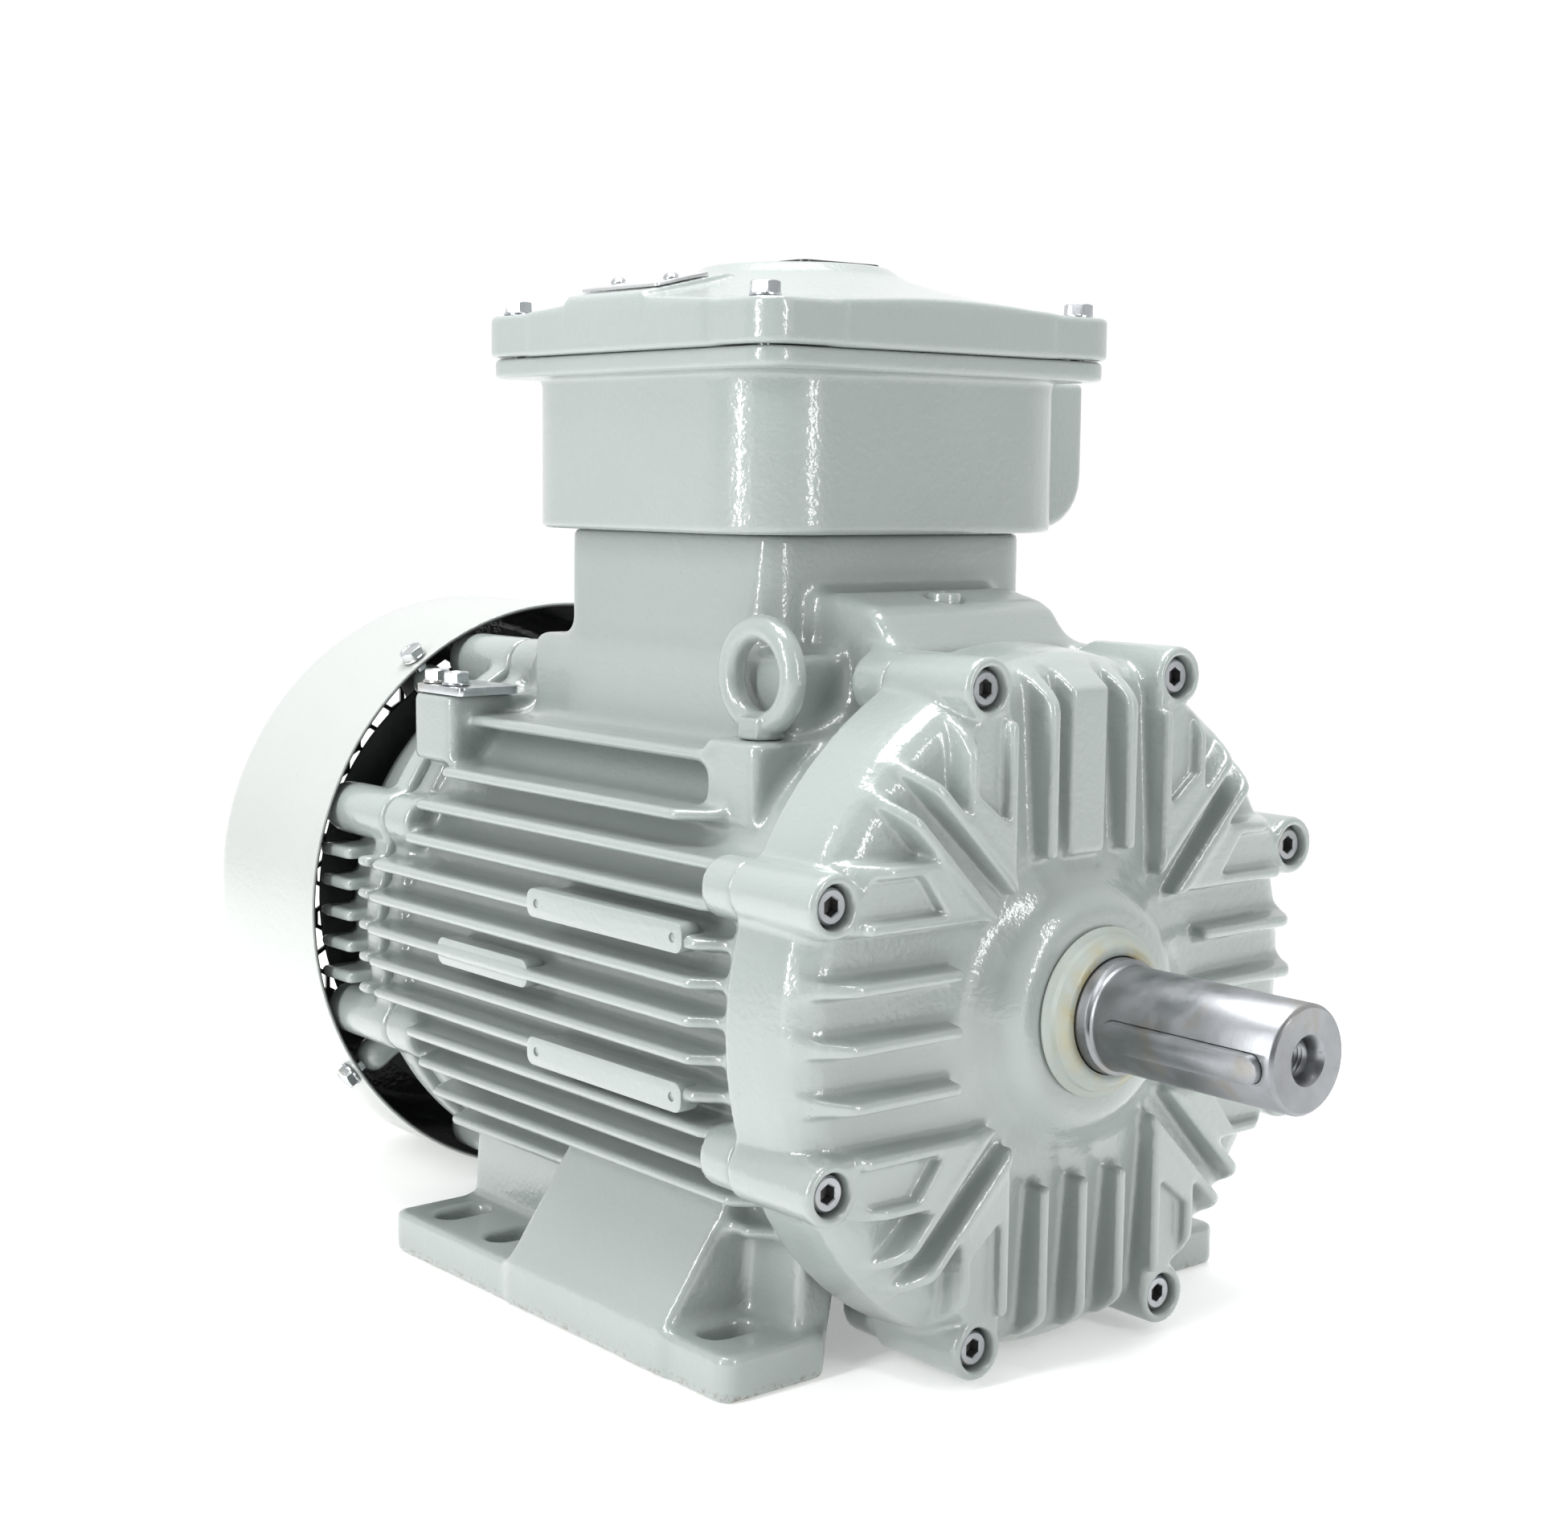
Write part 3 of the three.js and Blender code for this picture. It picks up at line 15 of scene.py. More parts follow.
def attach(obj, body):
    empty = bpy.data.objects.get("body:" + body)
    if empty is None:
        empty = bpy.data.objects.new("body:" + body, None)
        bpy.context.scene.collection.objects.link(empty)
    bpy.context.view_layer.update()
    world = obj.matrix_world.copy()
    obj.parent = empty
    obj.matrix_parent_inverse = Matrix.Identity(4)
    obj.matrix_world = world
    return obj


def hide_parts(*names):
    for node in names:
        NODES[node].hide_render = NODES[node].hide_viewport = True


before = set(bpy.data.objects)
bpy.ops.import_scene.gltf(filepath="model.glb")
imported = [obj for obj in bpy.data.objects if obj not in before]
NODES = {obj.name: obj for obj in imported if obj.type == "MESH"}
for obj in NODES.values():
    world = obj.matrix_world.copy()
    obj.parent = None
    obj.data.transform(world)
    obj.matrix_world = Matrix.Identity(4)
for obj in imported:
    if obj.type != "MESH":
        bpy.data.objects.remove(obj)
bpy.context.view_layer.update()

# Where the shaft shoulder is in the part frame, and the sizes that several pieces share, in millimetres.
SHAFT_HEIGHT = 132.0
SHOULDER = np.array([182.5, 0.0, SHAFT_HEIGHT])
DE_SCREW_CIRCLE = 127
NDE_SCREW_CIRCLE = 116
FRAME_DE_SCREW_CIRCLE = 125
SCREW_BOSS = 11.3
SCREW_HEAD_HOLE = 7.7
FIN_PITCH = 13.5
HALF_FIN = 2.3
FIN_CIRCLE = 130.0
SHAFT_HOLE = 22.4
EYEBOLT_AT = (-108, -80)
NOSE_PLUG_AT = (-98, 0)
EARTH_SCREWS = [(-304, -96), (-289, -96)]
ENTRIES_X = (-212, -163)
ENTRY_HEIGHT = 199
COWL_SCREW_X = -358
COWL_ANGLES = [math.pi - math.radians(55.5) + i * math.pi / 2 for i in range(4)]


def place(points):
    """Points in millimetres about the shaft shoulder, as metres in the part frame."""
    return (np.asarray(points, float) + SHOULDER) * 0.001


def linked(name, data):
    """A new object in the scene."""
    made = bpy.data.objects.new(name, data)
    bpy.context.scene.collection.objects.link(made)
    return made


def applied(helper):
    """The mesh of a helper object with its modifiers applied. The helper goes."""
    made = bpy.data.meshes.new_from_object(helper.evaluated_get(bpy.context.evaluated_depsgraph_get()))
    bpy.data.objects.remove(helper)
    return made


def united(first, *others):
    """The first mesh with the others added to it."""
    work = bmesh.new()
    for mesh in (first, *others):
        work.from_mesh(mesh)
    work.to_mesh(first)
    work.free()
    return first


# ---------------- materials


class Look:
    """A material with the node calls that the looks share, in the object's own coordinates, in metres."""

    def __init__(self, name):
        self.material = bpy.data.materials.new(name)
        self.material.use_nodes = True
        self.tree = self.material.node_tree
        self.shader = self.tree.nodes["Principled BSDF"]
        self.where = self.tree.nodes.new("ShaderNodeTexCoord").outputs["Object"]

    def join(self, value, socket):
        if isinstance(value, bpy.types.NodeSocket):
            self.tree.links.new(value, socket)
        else:
            socket.default_value = value

    def node(self, kind, inputs, **settings):
        made = self.tree.nodes.new(kind)
        for key, value in settings.items():
            setattr(made, key, value)
        for key, value in inputs.items():
            self.join(value, made.inputs[key])
        return made

    def noise(self, scale, detail=3.0, rough=0.55, stretch=None):
        where = self.where
        if stretch:
            where = self.node("ShaderNodeMapping", {"Vector": where, "Scale": stretch}).outputs[0]
        inputs = {"Vector": where, "Scale": scale, "Detail": detail, "Roughness": rough}
        return self.node("ShaderNodeTexNoise", inputs).outputs["Fac"]

    def bands(self, scale, distortion, detail=2.0):
        inputs = {"Vector": self.where, "Scale": scale, "Distortion": distortion, "Detail": detail}
        return self.node("ShaderNodeTexWave", inputs, bands_direction="X").outputs["Fac"]

    def spread(self, value, low, high, to_low=0.0, to_high=1.0):
        inputs = {"Value": value, "From Min": low, "From Max": high, "To Min": to_low, "To Max": to_high}
        return self.node("ShaderNodeMapRange", inputs).outputs[0]

    def math(self, operation, a, b=0.0):
        return self.node("ShaderNodeMath", {0: a, 1: b}, operation=operation).outputs[0]

    def mix(self, share, a, b):
        made = self.node("ShaderNodeMix", {}, data_type="RGBA")
        self.join(share, made.inputs[0])
        self.join(a, made.inputs[6])
        self.join(b, made.inputs[7])
        return made.outputs[2]

    def part(self, index):
        """The object's x, y or z at the shaded point, in metres."""
        return self.node("ShaderNodeSeparateXYZ", {0: self.where}).outputs[index]

    def length(self, a, b):
        squares = [self.math("MULTIPLY", side, side) for side in (a, b)]
        return self.math("SQRT", self.math("ADD", *squares))

    def from_shaft(self):
        """Distance from the shaft axis, in metres."""
        return self.length(self.part(1), self.math("SUBTRACT", self.part(2), SHAFT_HEIGHT * 0.001))

    def bump(self, *layers):
        """Layers of (height, depth in millimetres), one on another."""
        normal = None
        for height, depth in layers:
            inputs = {"Height": height, "Distance": depth * 0.001, "Strength": 1.0}
            if normal:
                inputs["Normal"] = normal
            normal = self.node("ShaderNodeBump", inputs).outputs[0]
        self.join(normal, self.shader.inputs["Normal"])
        self.join(normal, self.shader.inputs["Coat Normal"])

    def finish(self, colour, rough, metal=0.0, **own):
        self.join(colour, self.shader.inputs["Base Color"])
        self.join(rough, self.shader.inputs["Roughness"])
        self.join(metal, self.shader.inputs["Metallic"])
        for key, value in own.items():
            self.shader.inputs[key.replace("_", " ")].default_value = value
        return self.material


def shade(r, g, b):
    return (r, g, b, 1.0)


def enamel(name, light, dark, rust=0.0, sheet_darker_inside=False):
    """Glossy machine enamel over a casting: orange peel, a little dust, chips, and rust near the floor."""
    look = Look(name)
    colour = look.mix(look.spread(look.noise(7.0, 2.0), 0.25, 0.85), light, dark)
    dust = look.spread(look.noise(11.0, 4.0, 0.55), 0.45, 0.95, 0.0, 0.14)
    colour = look.mix(dust, colour, shade(0.36, 0.36, 0.33))
    specks = look.spread(look.noise(800.0, 2.0), 0.735, 0.77, 0.0, 0.45)
    colour = look.mix(specks, colour, shade(0.10, 0.10, 0.09))
    rough = look.spread(look.noise(40.0, 4.0), 0.0, 1.0, 0.28, 0.42)
    if rust:
        low = look.spread(look.part(2), 0.0002, 0.0045, 1.0, 0.0)
        chips = look.math("MULTIPLY", low, look.spread(look.noise(420.0, 5.0, 0.7), 0.53, 0.58))
        stain = look.mix(look.noise(250.0), shade(0.030, 0.020, 0.014), shade(0.15, 0.070, 0.03))
        colour = look.mix(look.math("MULTIPLY", chips, rust), colour, stain)
        rough = look.math("MAXIMUM", rough, look.math("MULTIPLY", chips, 0.85))
    if sheet_darker_inside:
        # Darker on the cowl's inner surface: a near-black mottled colour and a rougher finish there.
        inner = inside_cowl(look)
        inner_dark = look.mix(look.noise(60.0, 4.0), shade(0.030, 0.032, 0.032), shade(0.060, 0.060, 0.056))
        colour = look.mix(inner, colour, inner_dark)
        rough = look.math("MAXIMUM", rough, look.math("MULTIPLY", inner, 0.7))
    sand = look.noise(170.0, 3.0, 0.55)
    peel = look.noise(470.0, 2.0, 0.45)
    look.bump((look.noise(16.0, 2.0), 0.06 if sheet_darker_inside else 0.26), (sand, 0.03 if sheet_darker_inside else 0.12), (peel, 0.20))
    return look.finish(colour, rough, 0.0, Coat_Weight=0.8, Coat_Roughness=0.06, Specular_IOR_Level=0.5)


def inside_cowl(look):
    """1 on the cowl's inner surface and 0 on its outer one, by distance from its rounded drum."""
    side = look.math("MAXIMUM", look.math("SUBTRACT", look.from_shaft(), 0.117), 0.0)
    back = look.math("MAXIMUM", look.math("SUBTRACT", -0.2485, look.part(0)), 0.0)
    return look.math("LESS_THAN", look.length(side, back), 0.0131)


def metal(name, light, dark, rough, grain, tint, turned, spots):
    """Bare or plated metal: brushed or turned grain, smudges and small dark spots."""
    look = Look(name)
    broad = look.spread(look.noise(30.0, 5.0, 0.6), 0.3, 0.75)
    colour = look.mix(broad, light, dark)
    if tint:
        colour = look.mix(look.spread(look.noise(55.0, 4.0), 0.55, 0.75, 0.0, 0.7), colour, tint)
    pits = look.spread(look.noise(700.0, 3.0, 0.6), 0.68, 0.74)
    colour = look.mix(look.math("MULTIPLY", pits, spots), colour, shade(0.07, 0.06, 0.05))
    lines = look.noise(1800.0, 2.0, 0.5, (1.0, 0.04, 0.04) if turned else (0.05, 1.0, 1.0))
    smear = look.spread(look.noise(80.0, 4.0), 0.3, 0.75, rough * 0.75, rough * 1.35)
    roughness = look.math("ADD", smear, look.math("MULTIPLY", pits, 0.3))
    look.bump((lines, grain), (look.noise(260.0, 3.0), grain * 2.0))
    return look.finish(colour, roughness, 1.0)


def polymer(name, light, dark, rough, depth):
    """Moulded plastic, rubber or resin: fine grain, dull patches and dust."""
    look = Look(name)
    colour = look.mix(look.spread(look.noise(35.0, 5.0), 0.3, 0.75), light, dark)
    dust = look.spread(look.noise(300.0, 5.0, 0.7), 0.6, 0.8, 0.0, 0.35)
    colour = look.mix(dust, colour, shade(0.32, 0.31, 0.28))
    roughness = look.spread(look.noise(70.0, 4.0), 0.3, 0.75, rough * 0.8, min(rough * 1.3, 0.95))
    look.bump((look.noise(700.0, 4.0), depth), (look.noise(120.0, 3.0), depth * 1.5))
    return look.finish(colour, roughness)


def greased_rubber():
    """Rubber painted over with the shield, with yellow grease worked out around the shaft."""
    look = Look("seal_rubber")
    colour = look.mix(look.noise(45.0, 4.0), shade(0.26, 0.295, 0.28), shade(0.34, 0.375, 0.355))
    near = look.spread(look.from_shaft(), 0.0215, 0.029, 1.0, 0.15)
    grease = look.math("MULTIPLY", near, look.spread(look.noise(75.0, 4.0, 0.6), 0.40, 0.62))
    colour = look.mix(look.math("MULTIPLY", grease, 0.8), colour, shade(0.33, 0.27, 0.10))
    look.bump((grease, 0.18), (look.noise(600.0, 3.0), 0.03))
    return look.finish(colour, look.spread(grease, 0.0, 1.0, 0.42, 0.2))


def insulated_copper():
    look = Look("copper_winding")
    wires = look.bands(260.0, 3.0, 3.0)
    colour = look.mix(wires, shade(0.20, 0.075, 0.03), shade(0.52, 0.23, 0.10))
    colour = look.mix(look.spread(look.noise(50.0, 4.0), 0.5, 0.7, 0.0, 0.6), colour, shade(0.25, 0.16, 0.07))
    look.bump((wires, 0.5), (look.noise(200.0, 4.0), 0.1))
    return look.finish(colour, look.spread(look.noise(90.0), 0.3, 0.7, 0.25, 0.5), 0.6)


def stacked_sheets():
    look = Look("core_steel")
    sheets = look.bands(320.0, 0.3)
    colour = look.mix(look.noise(45.0, 5.0), shade(0.10, 0.105, 0.115), shade(0.22, 0.22, 0.23))
    rust = look.spread(look.noise(130.0, 5.0, 0.7), 0.62, 0.75, 0.0, 0.7)
    colour = look.mix(rust, colour, shade(0.20, 0.10, 0.05))
    look.bump((sheets, 0.25), (look.noise(400.0, 3.0), 0.04))
    return look.finish(colour, look.spread(look.noise(70.0), 0.3, 0.7, 0.35, 0.6), 0.85)


PAINT_LIGHT = shade(0.285, 0.322, 0.310)
PAINT_DARK = shade(0.250, 0.284, 0.273)
COWL_LIGHT = shade(0.40, 0.42, 0.405)
COWL_DARK = shade(0.35, 0.37, 0.36)
# Name, light and dark colour, roughness, grain in millimetres, tint, turned grain, share of dark spots.
METALS = [
    ("shaft_steel", (0.30, 0.31, 0.325), (0.19, 0.195, 0.205), 0.40, 0.02, (0.24, 0.21, 0.16), True, 0.35),
    ("zinc_plate", (0.62, 0.64, 0.66), (0.40, 0.42, 0.44), 0.27, 0.012, (0.48, 0.45, 0.34), False, 0.35),
    ("screw_steel", (0.40, 0.41, 0.43), (0.24, 0.25, 0.26), 0.38, 0.015, (0.30, 0.28, 0.22), False, 0.35),
    ("bearing_steel", (0.66, 0.66, 0.67), (0.5, 0.5, 0.52), 0.12, 0.004, None, True, 0.15),
    ("rotor_metal", (0.60, 0.61, 0.62), (0.42, 0.43, 0.44), 0.38, 0.02, (0.3, 0.28, 0.25), True, 0.35),
    ("aluminium_plate", (0.72, 0.73, 0.74), (0.58, 0.59, 0.60), 0.3, 0.01, None, False, 0.2),
    ("dark_plate", (0.11, 0.115, 0.12), (0.07, 0.07, 0.075), 0.45, 0.01, None, False, 0.35),
]
# Name, light and dark colour, roughness, depth of the grain in millimetres.
POLYMERS = [
    # The socket look is near black: painted shade in the hollow hexagon sockets of the cap screws.
    ("screw_recess", (0.030, 0.030, 0.032), (0.06, 0.06, 0.06), 0.5, 0.03),
    ("board_resin", (0.035, 0.036, 0.040), (0.07, 0.07, 0.075), 0.5, 0.03),
    ("fan_plastic", (0.045, 0.048, 0.052), (0.09, 0.093, 0.098), 0.5, 0.05),
]
LOOKS = {
    "grey_paint": enamel("grey_paint", PAINT_LIGHT, PAINT_DARK, rust=0.95),
    "cowl_paint": enamel("cowl_paint", COWL_LIGHT, COWL_DARK, sheet_darker_inside=True),
    "core_steel": stacked_sheets(),
    "copper_winding": insulated_copper(),
    "seal_rubber": greased_rubber(),
}
for name, light, dark, rough, grain, tint, turned, spots in METALS:
    LOOKS[name] = metal(name, shade(*light), shade(*dark), rough, grain, tint and shade(*tint), turned, spots)
for name, light, dark, rough, depth in POLYMERS:
    LOOKS[name] = polymer(name, shade(*light), shade(*dark), rough, depth)


# ---------------- pieces from points and faces


def shown(name, mesh, slot, nodes=None, body="stator", sharp=30.0, look=None, recess=None):
    """A shown piece, which stands for the CAD node of its own name unless others are given. Its faces from
    number recess on are near black: painted shade in a screw's hollow socket."""
    mesh.validate()
    mesh.polygons.foreach_set("use_smooth", np.ones(len(mesh.polygons), bool))
    if sharp:
        mesh.set_sharp_from_angle(angle=math.radians(sharp))
    mesh.materials.clear()
    mesh.materials.append(LOOKS[look or slot])
    # The socket's faces take the near-black look: painted shade in the hollow.
    if recess:
        mesh.materials.append(LOOKS["screw_recess"])
        for polygon in mesh.polygons:
            polygon.material_index = int(polygon.index >= recess)
    made = linked("shown_" + name, mesh)
    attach(made, body)
    if nodes is None:
        nodes = [name]
    if nodes:
        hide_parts(*nodes)
    return made


def carve(mesh, *tools):
    """The mesh less the tool meshes, by an exact boolean."""
    host = linked("host", mesh)
    helpers = [linked("helper", tool) for tool in tools]
    for helper in helpers:
        step = host.modifiers.new("carve", "BOOLEAN")
        step.operation, step.object, step.solver = "DIFFERENCE", helper, "EXACT"
    made = applied(host)
    for helper in helpers:
        bpy.data.objects.remove(helper)
    return made


def loft(rings, turn, closed=False):
    """Verts and faces from rings of equal length, capped at both ends, or joined end to end. turn maps
    (along, p, q) points to (x, y, z)."""
    count = len(rings[0])
    verts = [turn(point) for ring in rings for point in ring]
    faces = []
    pairs = list(zip(range(len(rings)), range(1, len(rings))))
    if closed:
        pairs.append((len(rings) - 1, 0))
    for low, high in pairs:
        for i in range(count):
            j = (i + 1) % count
            faces.append((low * count + i, low * count + j, high * count + j, high * count + i))
    if not closed:
        faces.append(tuple(reversed(range(count))))
        faces.append(tuple(range((len(rings) - 1) * count, len(rings) * count)))
    return verts, faces


def outward(name, verts, faces):
    """A mesh with its faces turned to point out."""
    mesh = bpy.data.meshes.new(name)
    mesh.from_pydata([tuple(v) for v in verts], [], faces)
    work = bmesh.new()
    work.from_mesh(mesh)
    bmesh.ops.recalc_face_normals(work, faces=work.faces)
    work.to_mesh(mesh)
    work.free()
    return mesh


def circle(along, radius, sides, start=0.0):
    angles = start + np.arange(sides) * 2 * np.pi / sides
    return [(along, radius * math.cos(t), radius * math.sin(t)) for t in angles]


def hexagon_radius(angles, across):
    """Distance from a hexagon's middle to its edge, at each angle."""
    return across / 2 / np.cos((angles + np.pi / 6) % (np.pi / 3) - np.pi / 6)


ALONG = {
    "x": lambda centre: lambda p: place([p[0], centre[1] + p[1], centre[2] + p[2]]),
    "y": lambda centre: lambda p: place([centre[0] + p[2], p[0], centre[2] + p[1]]),
    "z": lambda centre: lambda p: place([centre[0] + p[1], centre[1] + p[2], p[0]]),
}


def outwards(angle, x):
    """Turns (along, p, q) to point straight out from the shaft axis, at an angle in the (y, z) plane."""
    c, s = math.cos(angle), math.sin(angle)
    return lambda p: place([x + p[1], p[0] * c - p[2] * s, p[0] * s + p[2] * c])


def lathe(name, axis, profile, centre=(0, 0, 0), sides=64):
    rings = [circle(along, max(radius, 0.01), sides) for along, radius in profile]
    return outward(name, *loft(rings, ALONG[axis](centre)))


def hollow_lathe(name, axis, profile, centre=(0, 0, 0), sides=64):
    rings = [circle(along, radius, sides) for along, radius in profile]
    return outward(name, *loft(rings, ALONG[axis](centre), True))


def varied(along, radius, angles):
    """A ring whose radius, and where wanted its place along, changes with the angle."""
    along = np.broadcast_to(along, angles.shape)
    return [(a, r * math.cos(t), r * math.sin(t)) for a, r, t in zip(along, radius, angles)]


def hex_screw(name, turn, seat, across, height, collar, shank, length):
    """A flanged hexagon-head screw with chamfered corners, pointing along its own axis."""
    angles = np.arange(48) * 2 * np.pi / 48
    flat = np.full(48, 1.0)
    hexagonal = hexagon_radius(angles, across)
    top = seat + 1.2 + height
    inner = across / 2
    lower = top - (hexagonal - inner * 0.98) * math.tan(math.radians(30))
    rings = [
        varied(seat - length, flat * (shank - 0.8), angles),
        varied(seat - length + 0.8, flat * shank, angles),
        varied(seat, flat * shank, angles),
        varied(seat, flat * (collar - 0.25), angles),
        varied(seat + 0.25, flat * collar, angles),
        varied(seat + 0.9, flat * (collar - 0.15), angles),
        varied(seat + 1.2, hexagonal + 0.15, angles),
        varied(lower, hexagonal, angles),
        varied(top, flat * inner * 0.98, angles),
        varied(top - 0.05, flat * inner * 0.80, angles),
        varied(top - 0.35, flat * inner * 0.72, angles),
    ]
    return outward(name, *loft(rings, turn))


def socket_screw(name, turn, seat, head, height, shank, length, socket):
    """A socket-head cap screw with a knurled rim and a hexagon recess. Its head points to +along."""
    angles = np.arange(72) * 2 * np.pi / 72
    flat = np.full(72, 1.0)
    knurl = head - 0.12 + 0.12 * np.cos(angles * 36)
    recess = hexagon_radius(angles, socket)
    top = seat + height
    rings = [
        varied(seat - length, flat * (shank - 0.9), angles),
        varied(seat - length + 0.9, flat * shank, angles),
        varied(seat, flat * shank, angles),
        varied(seat, flat * (head - 0.5), angles),
        varied(seat + 0.4, knurl, angles),
        varied(top - 1.1, knurl, angles),
        varied(top - 0.7, flat * (head - 0.2), angles),
        varied(top, flat * (head - 0.9), angles),
        varied(top, recess + 0.4, angles),
        varied(top - 0.4, recess, angles),
        varied(top - height * 0.55, recess, angles),
        varied(top - height * 0.62, recess * 0.25, angles),
    ]
    return outward(name, *loft(rings, turn))


RECESS_FACES = 9 * 72


# ---------------- castings as fields of distance


def outline_distance(points, p, q):
    """Signed distance to a closed outline, negative inside, at every pair of p and q."""
    across, up = p[:, None], q[None, :]
    best = np.full((len(p), len(q)), 1e9)
    within = np.zeros(best.shape, bool)
    for (a, b), (c, d) in zip(points, np.roll(points, -1, axis=0)):
        u, v = c - a, d - b
        t = np.clip(((across - a) * u + (up - b) * v) / (u * u + v * v), 0, 1)
        best = np.minimum(best, (across - a - t * u) ** 2 + (up - b - t * v) ** 2)
        if v:
            within ^= ((b > up) != (d > up)) & (across < a + (up - b) * u / v)
    return np.where(within, -1, 1) * np.sqrt(best)


def drawn(axis, flat, low, high, start, end, edge):
    """A flat shape drawn out along an axis, its rims rounded by edge. flat gives distances for p and q."""
    a = "xyz".index(axis)
    others = [k for k in range(3) if k != a]
    lowest, highest = np.zeros(3), np.zeros(3)
    lowest[a], highest[a] = start, end
    lowest[others], highest[others] = low, high

    def values(grid):
        side = np.expand_dims(flat(grid[others[0]], grid[others[1]]), a) + edge
        shape = [1, 1, 1]
        shape[a] = -1
        along = (np.abs(grid[a] - (start + end) / 2) - (end - start) / 2 + edge).reshape(shape)
        outside = np.hypot(np.maximum(side, 0), np.maximum(along, 0))
        return np.minimum(np.maximum(side, along), 0) + outside - edge

    return lowest, highest, values


def slab(axis, outline, start, end, edge=1.0):
    """An outline drawn out along an axis. Its points are (y, z) for x, (x, z) for y and (x, y) for z."""
    points = np.array(outline, float)
    flat = lambda p, q: outline_distance(points, p, q)
    return drawn(axis, flat, points.min(0), points.max(0), start, end, edge)


def bar(x, y, z, edge=1.0):
    return slab("x", [(y[0], z[0]), (y[1], z[0]), (y[1], z[1]), (y[0], z[1])], x[0], x[1], edge)


def rod(axis, centre, radius, start, end, edge=0.5):
    p0, q0 = centre
    flat = lambda p, q: np.hypot(p[:, None] - p0, q[None, :] - q0) - radius
    return drawn(axis, flat, (p0 - radius, q0 - radius), (p0 + radius, q0 + radius), start, end, edge)


def spun(axis, profile, centre=(0.0, 0.0)):
    """A profile of (along, radius) turned about an axis."""
    points = np.array(profile, float)
    reach = points[:, 1].max()
    points[points[:, 1] <= 0, 1] = -500.0
    a = "xyz".index(axis)
    others = [k for k in range(3) if k != a]
    low, high = np.zeros(3), np.zeros(3)
    low[a], high[a] = points[:, 0].min(), points[:, 0].max()
    low[others], high[others] = np.array(centre) - reach, np.array(centre) + reach

    def values(grid):
        pitch = 0.25
        radius = np.hypot(grid[others[0]][:, None] - centre[0], grid[others[1]][None, :] - centre[1]) / pitch
        table = outline_distance(points, grid[a], np.arange(int(radius.max()) + 3) * pitch).astype(np.float32)
        first = radius.astype(int)
        share = (radius - first).astype(np.float32)
        return np.moveaxis(table[:, first] * (1 - share) + table[:, first + 1] * share, 0, a)

    return low, high, values


def strut(start, end, radius):
    """A round-ended bar between two points."""
    start, end = np.array(start, float), np.array(end, float)

    def values(grid):
        at = np.stack(np.meshgrid(*grid, indexing="ij"), -1) - start
        along = end - start
        t = np.clip(at @ along / (along @ along), 0, 1)
        return np.linalg.norm(at - t[..., None] * along, axis=-1) - radius

    return np.minimum(start, end) - radius, np.maximum(start, end) + radius, values


def both(first, second):
    """What two shapes have in common."""
    values = lambda grid: np.maximum(first[2](grid), second[2](grid))
    return np.maximum(first[0], second[0]), np.minimum(first[1], second[1]), values


def smooth_min(a, b, blend):
    if not blend:
        return np.minimum(a, b)
    h = np.maximum(blend - np.abs(a - b), 0) / blend
    return np.minimum(a, b) - h * h * blend / 4


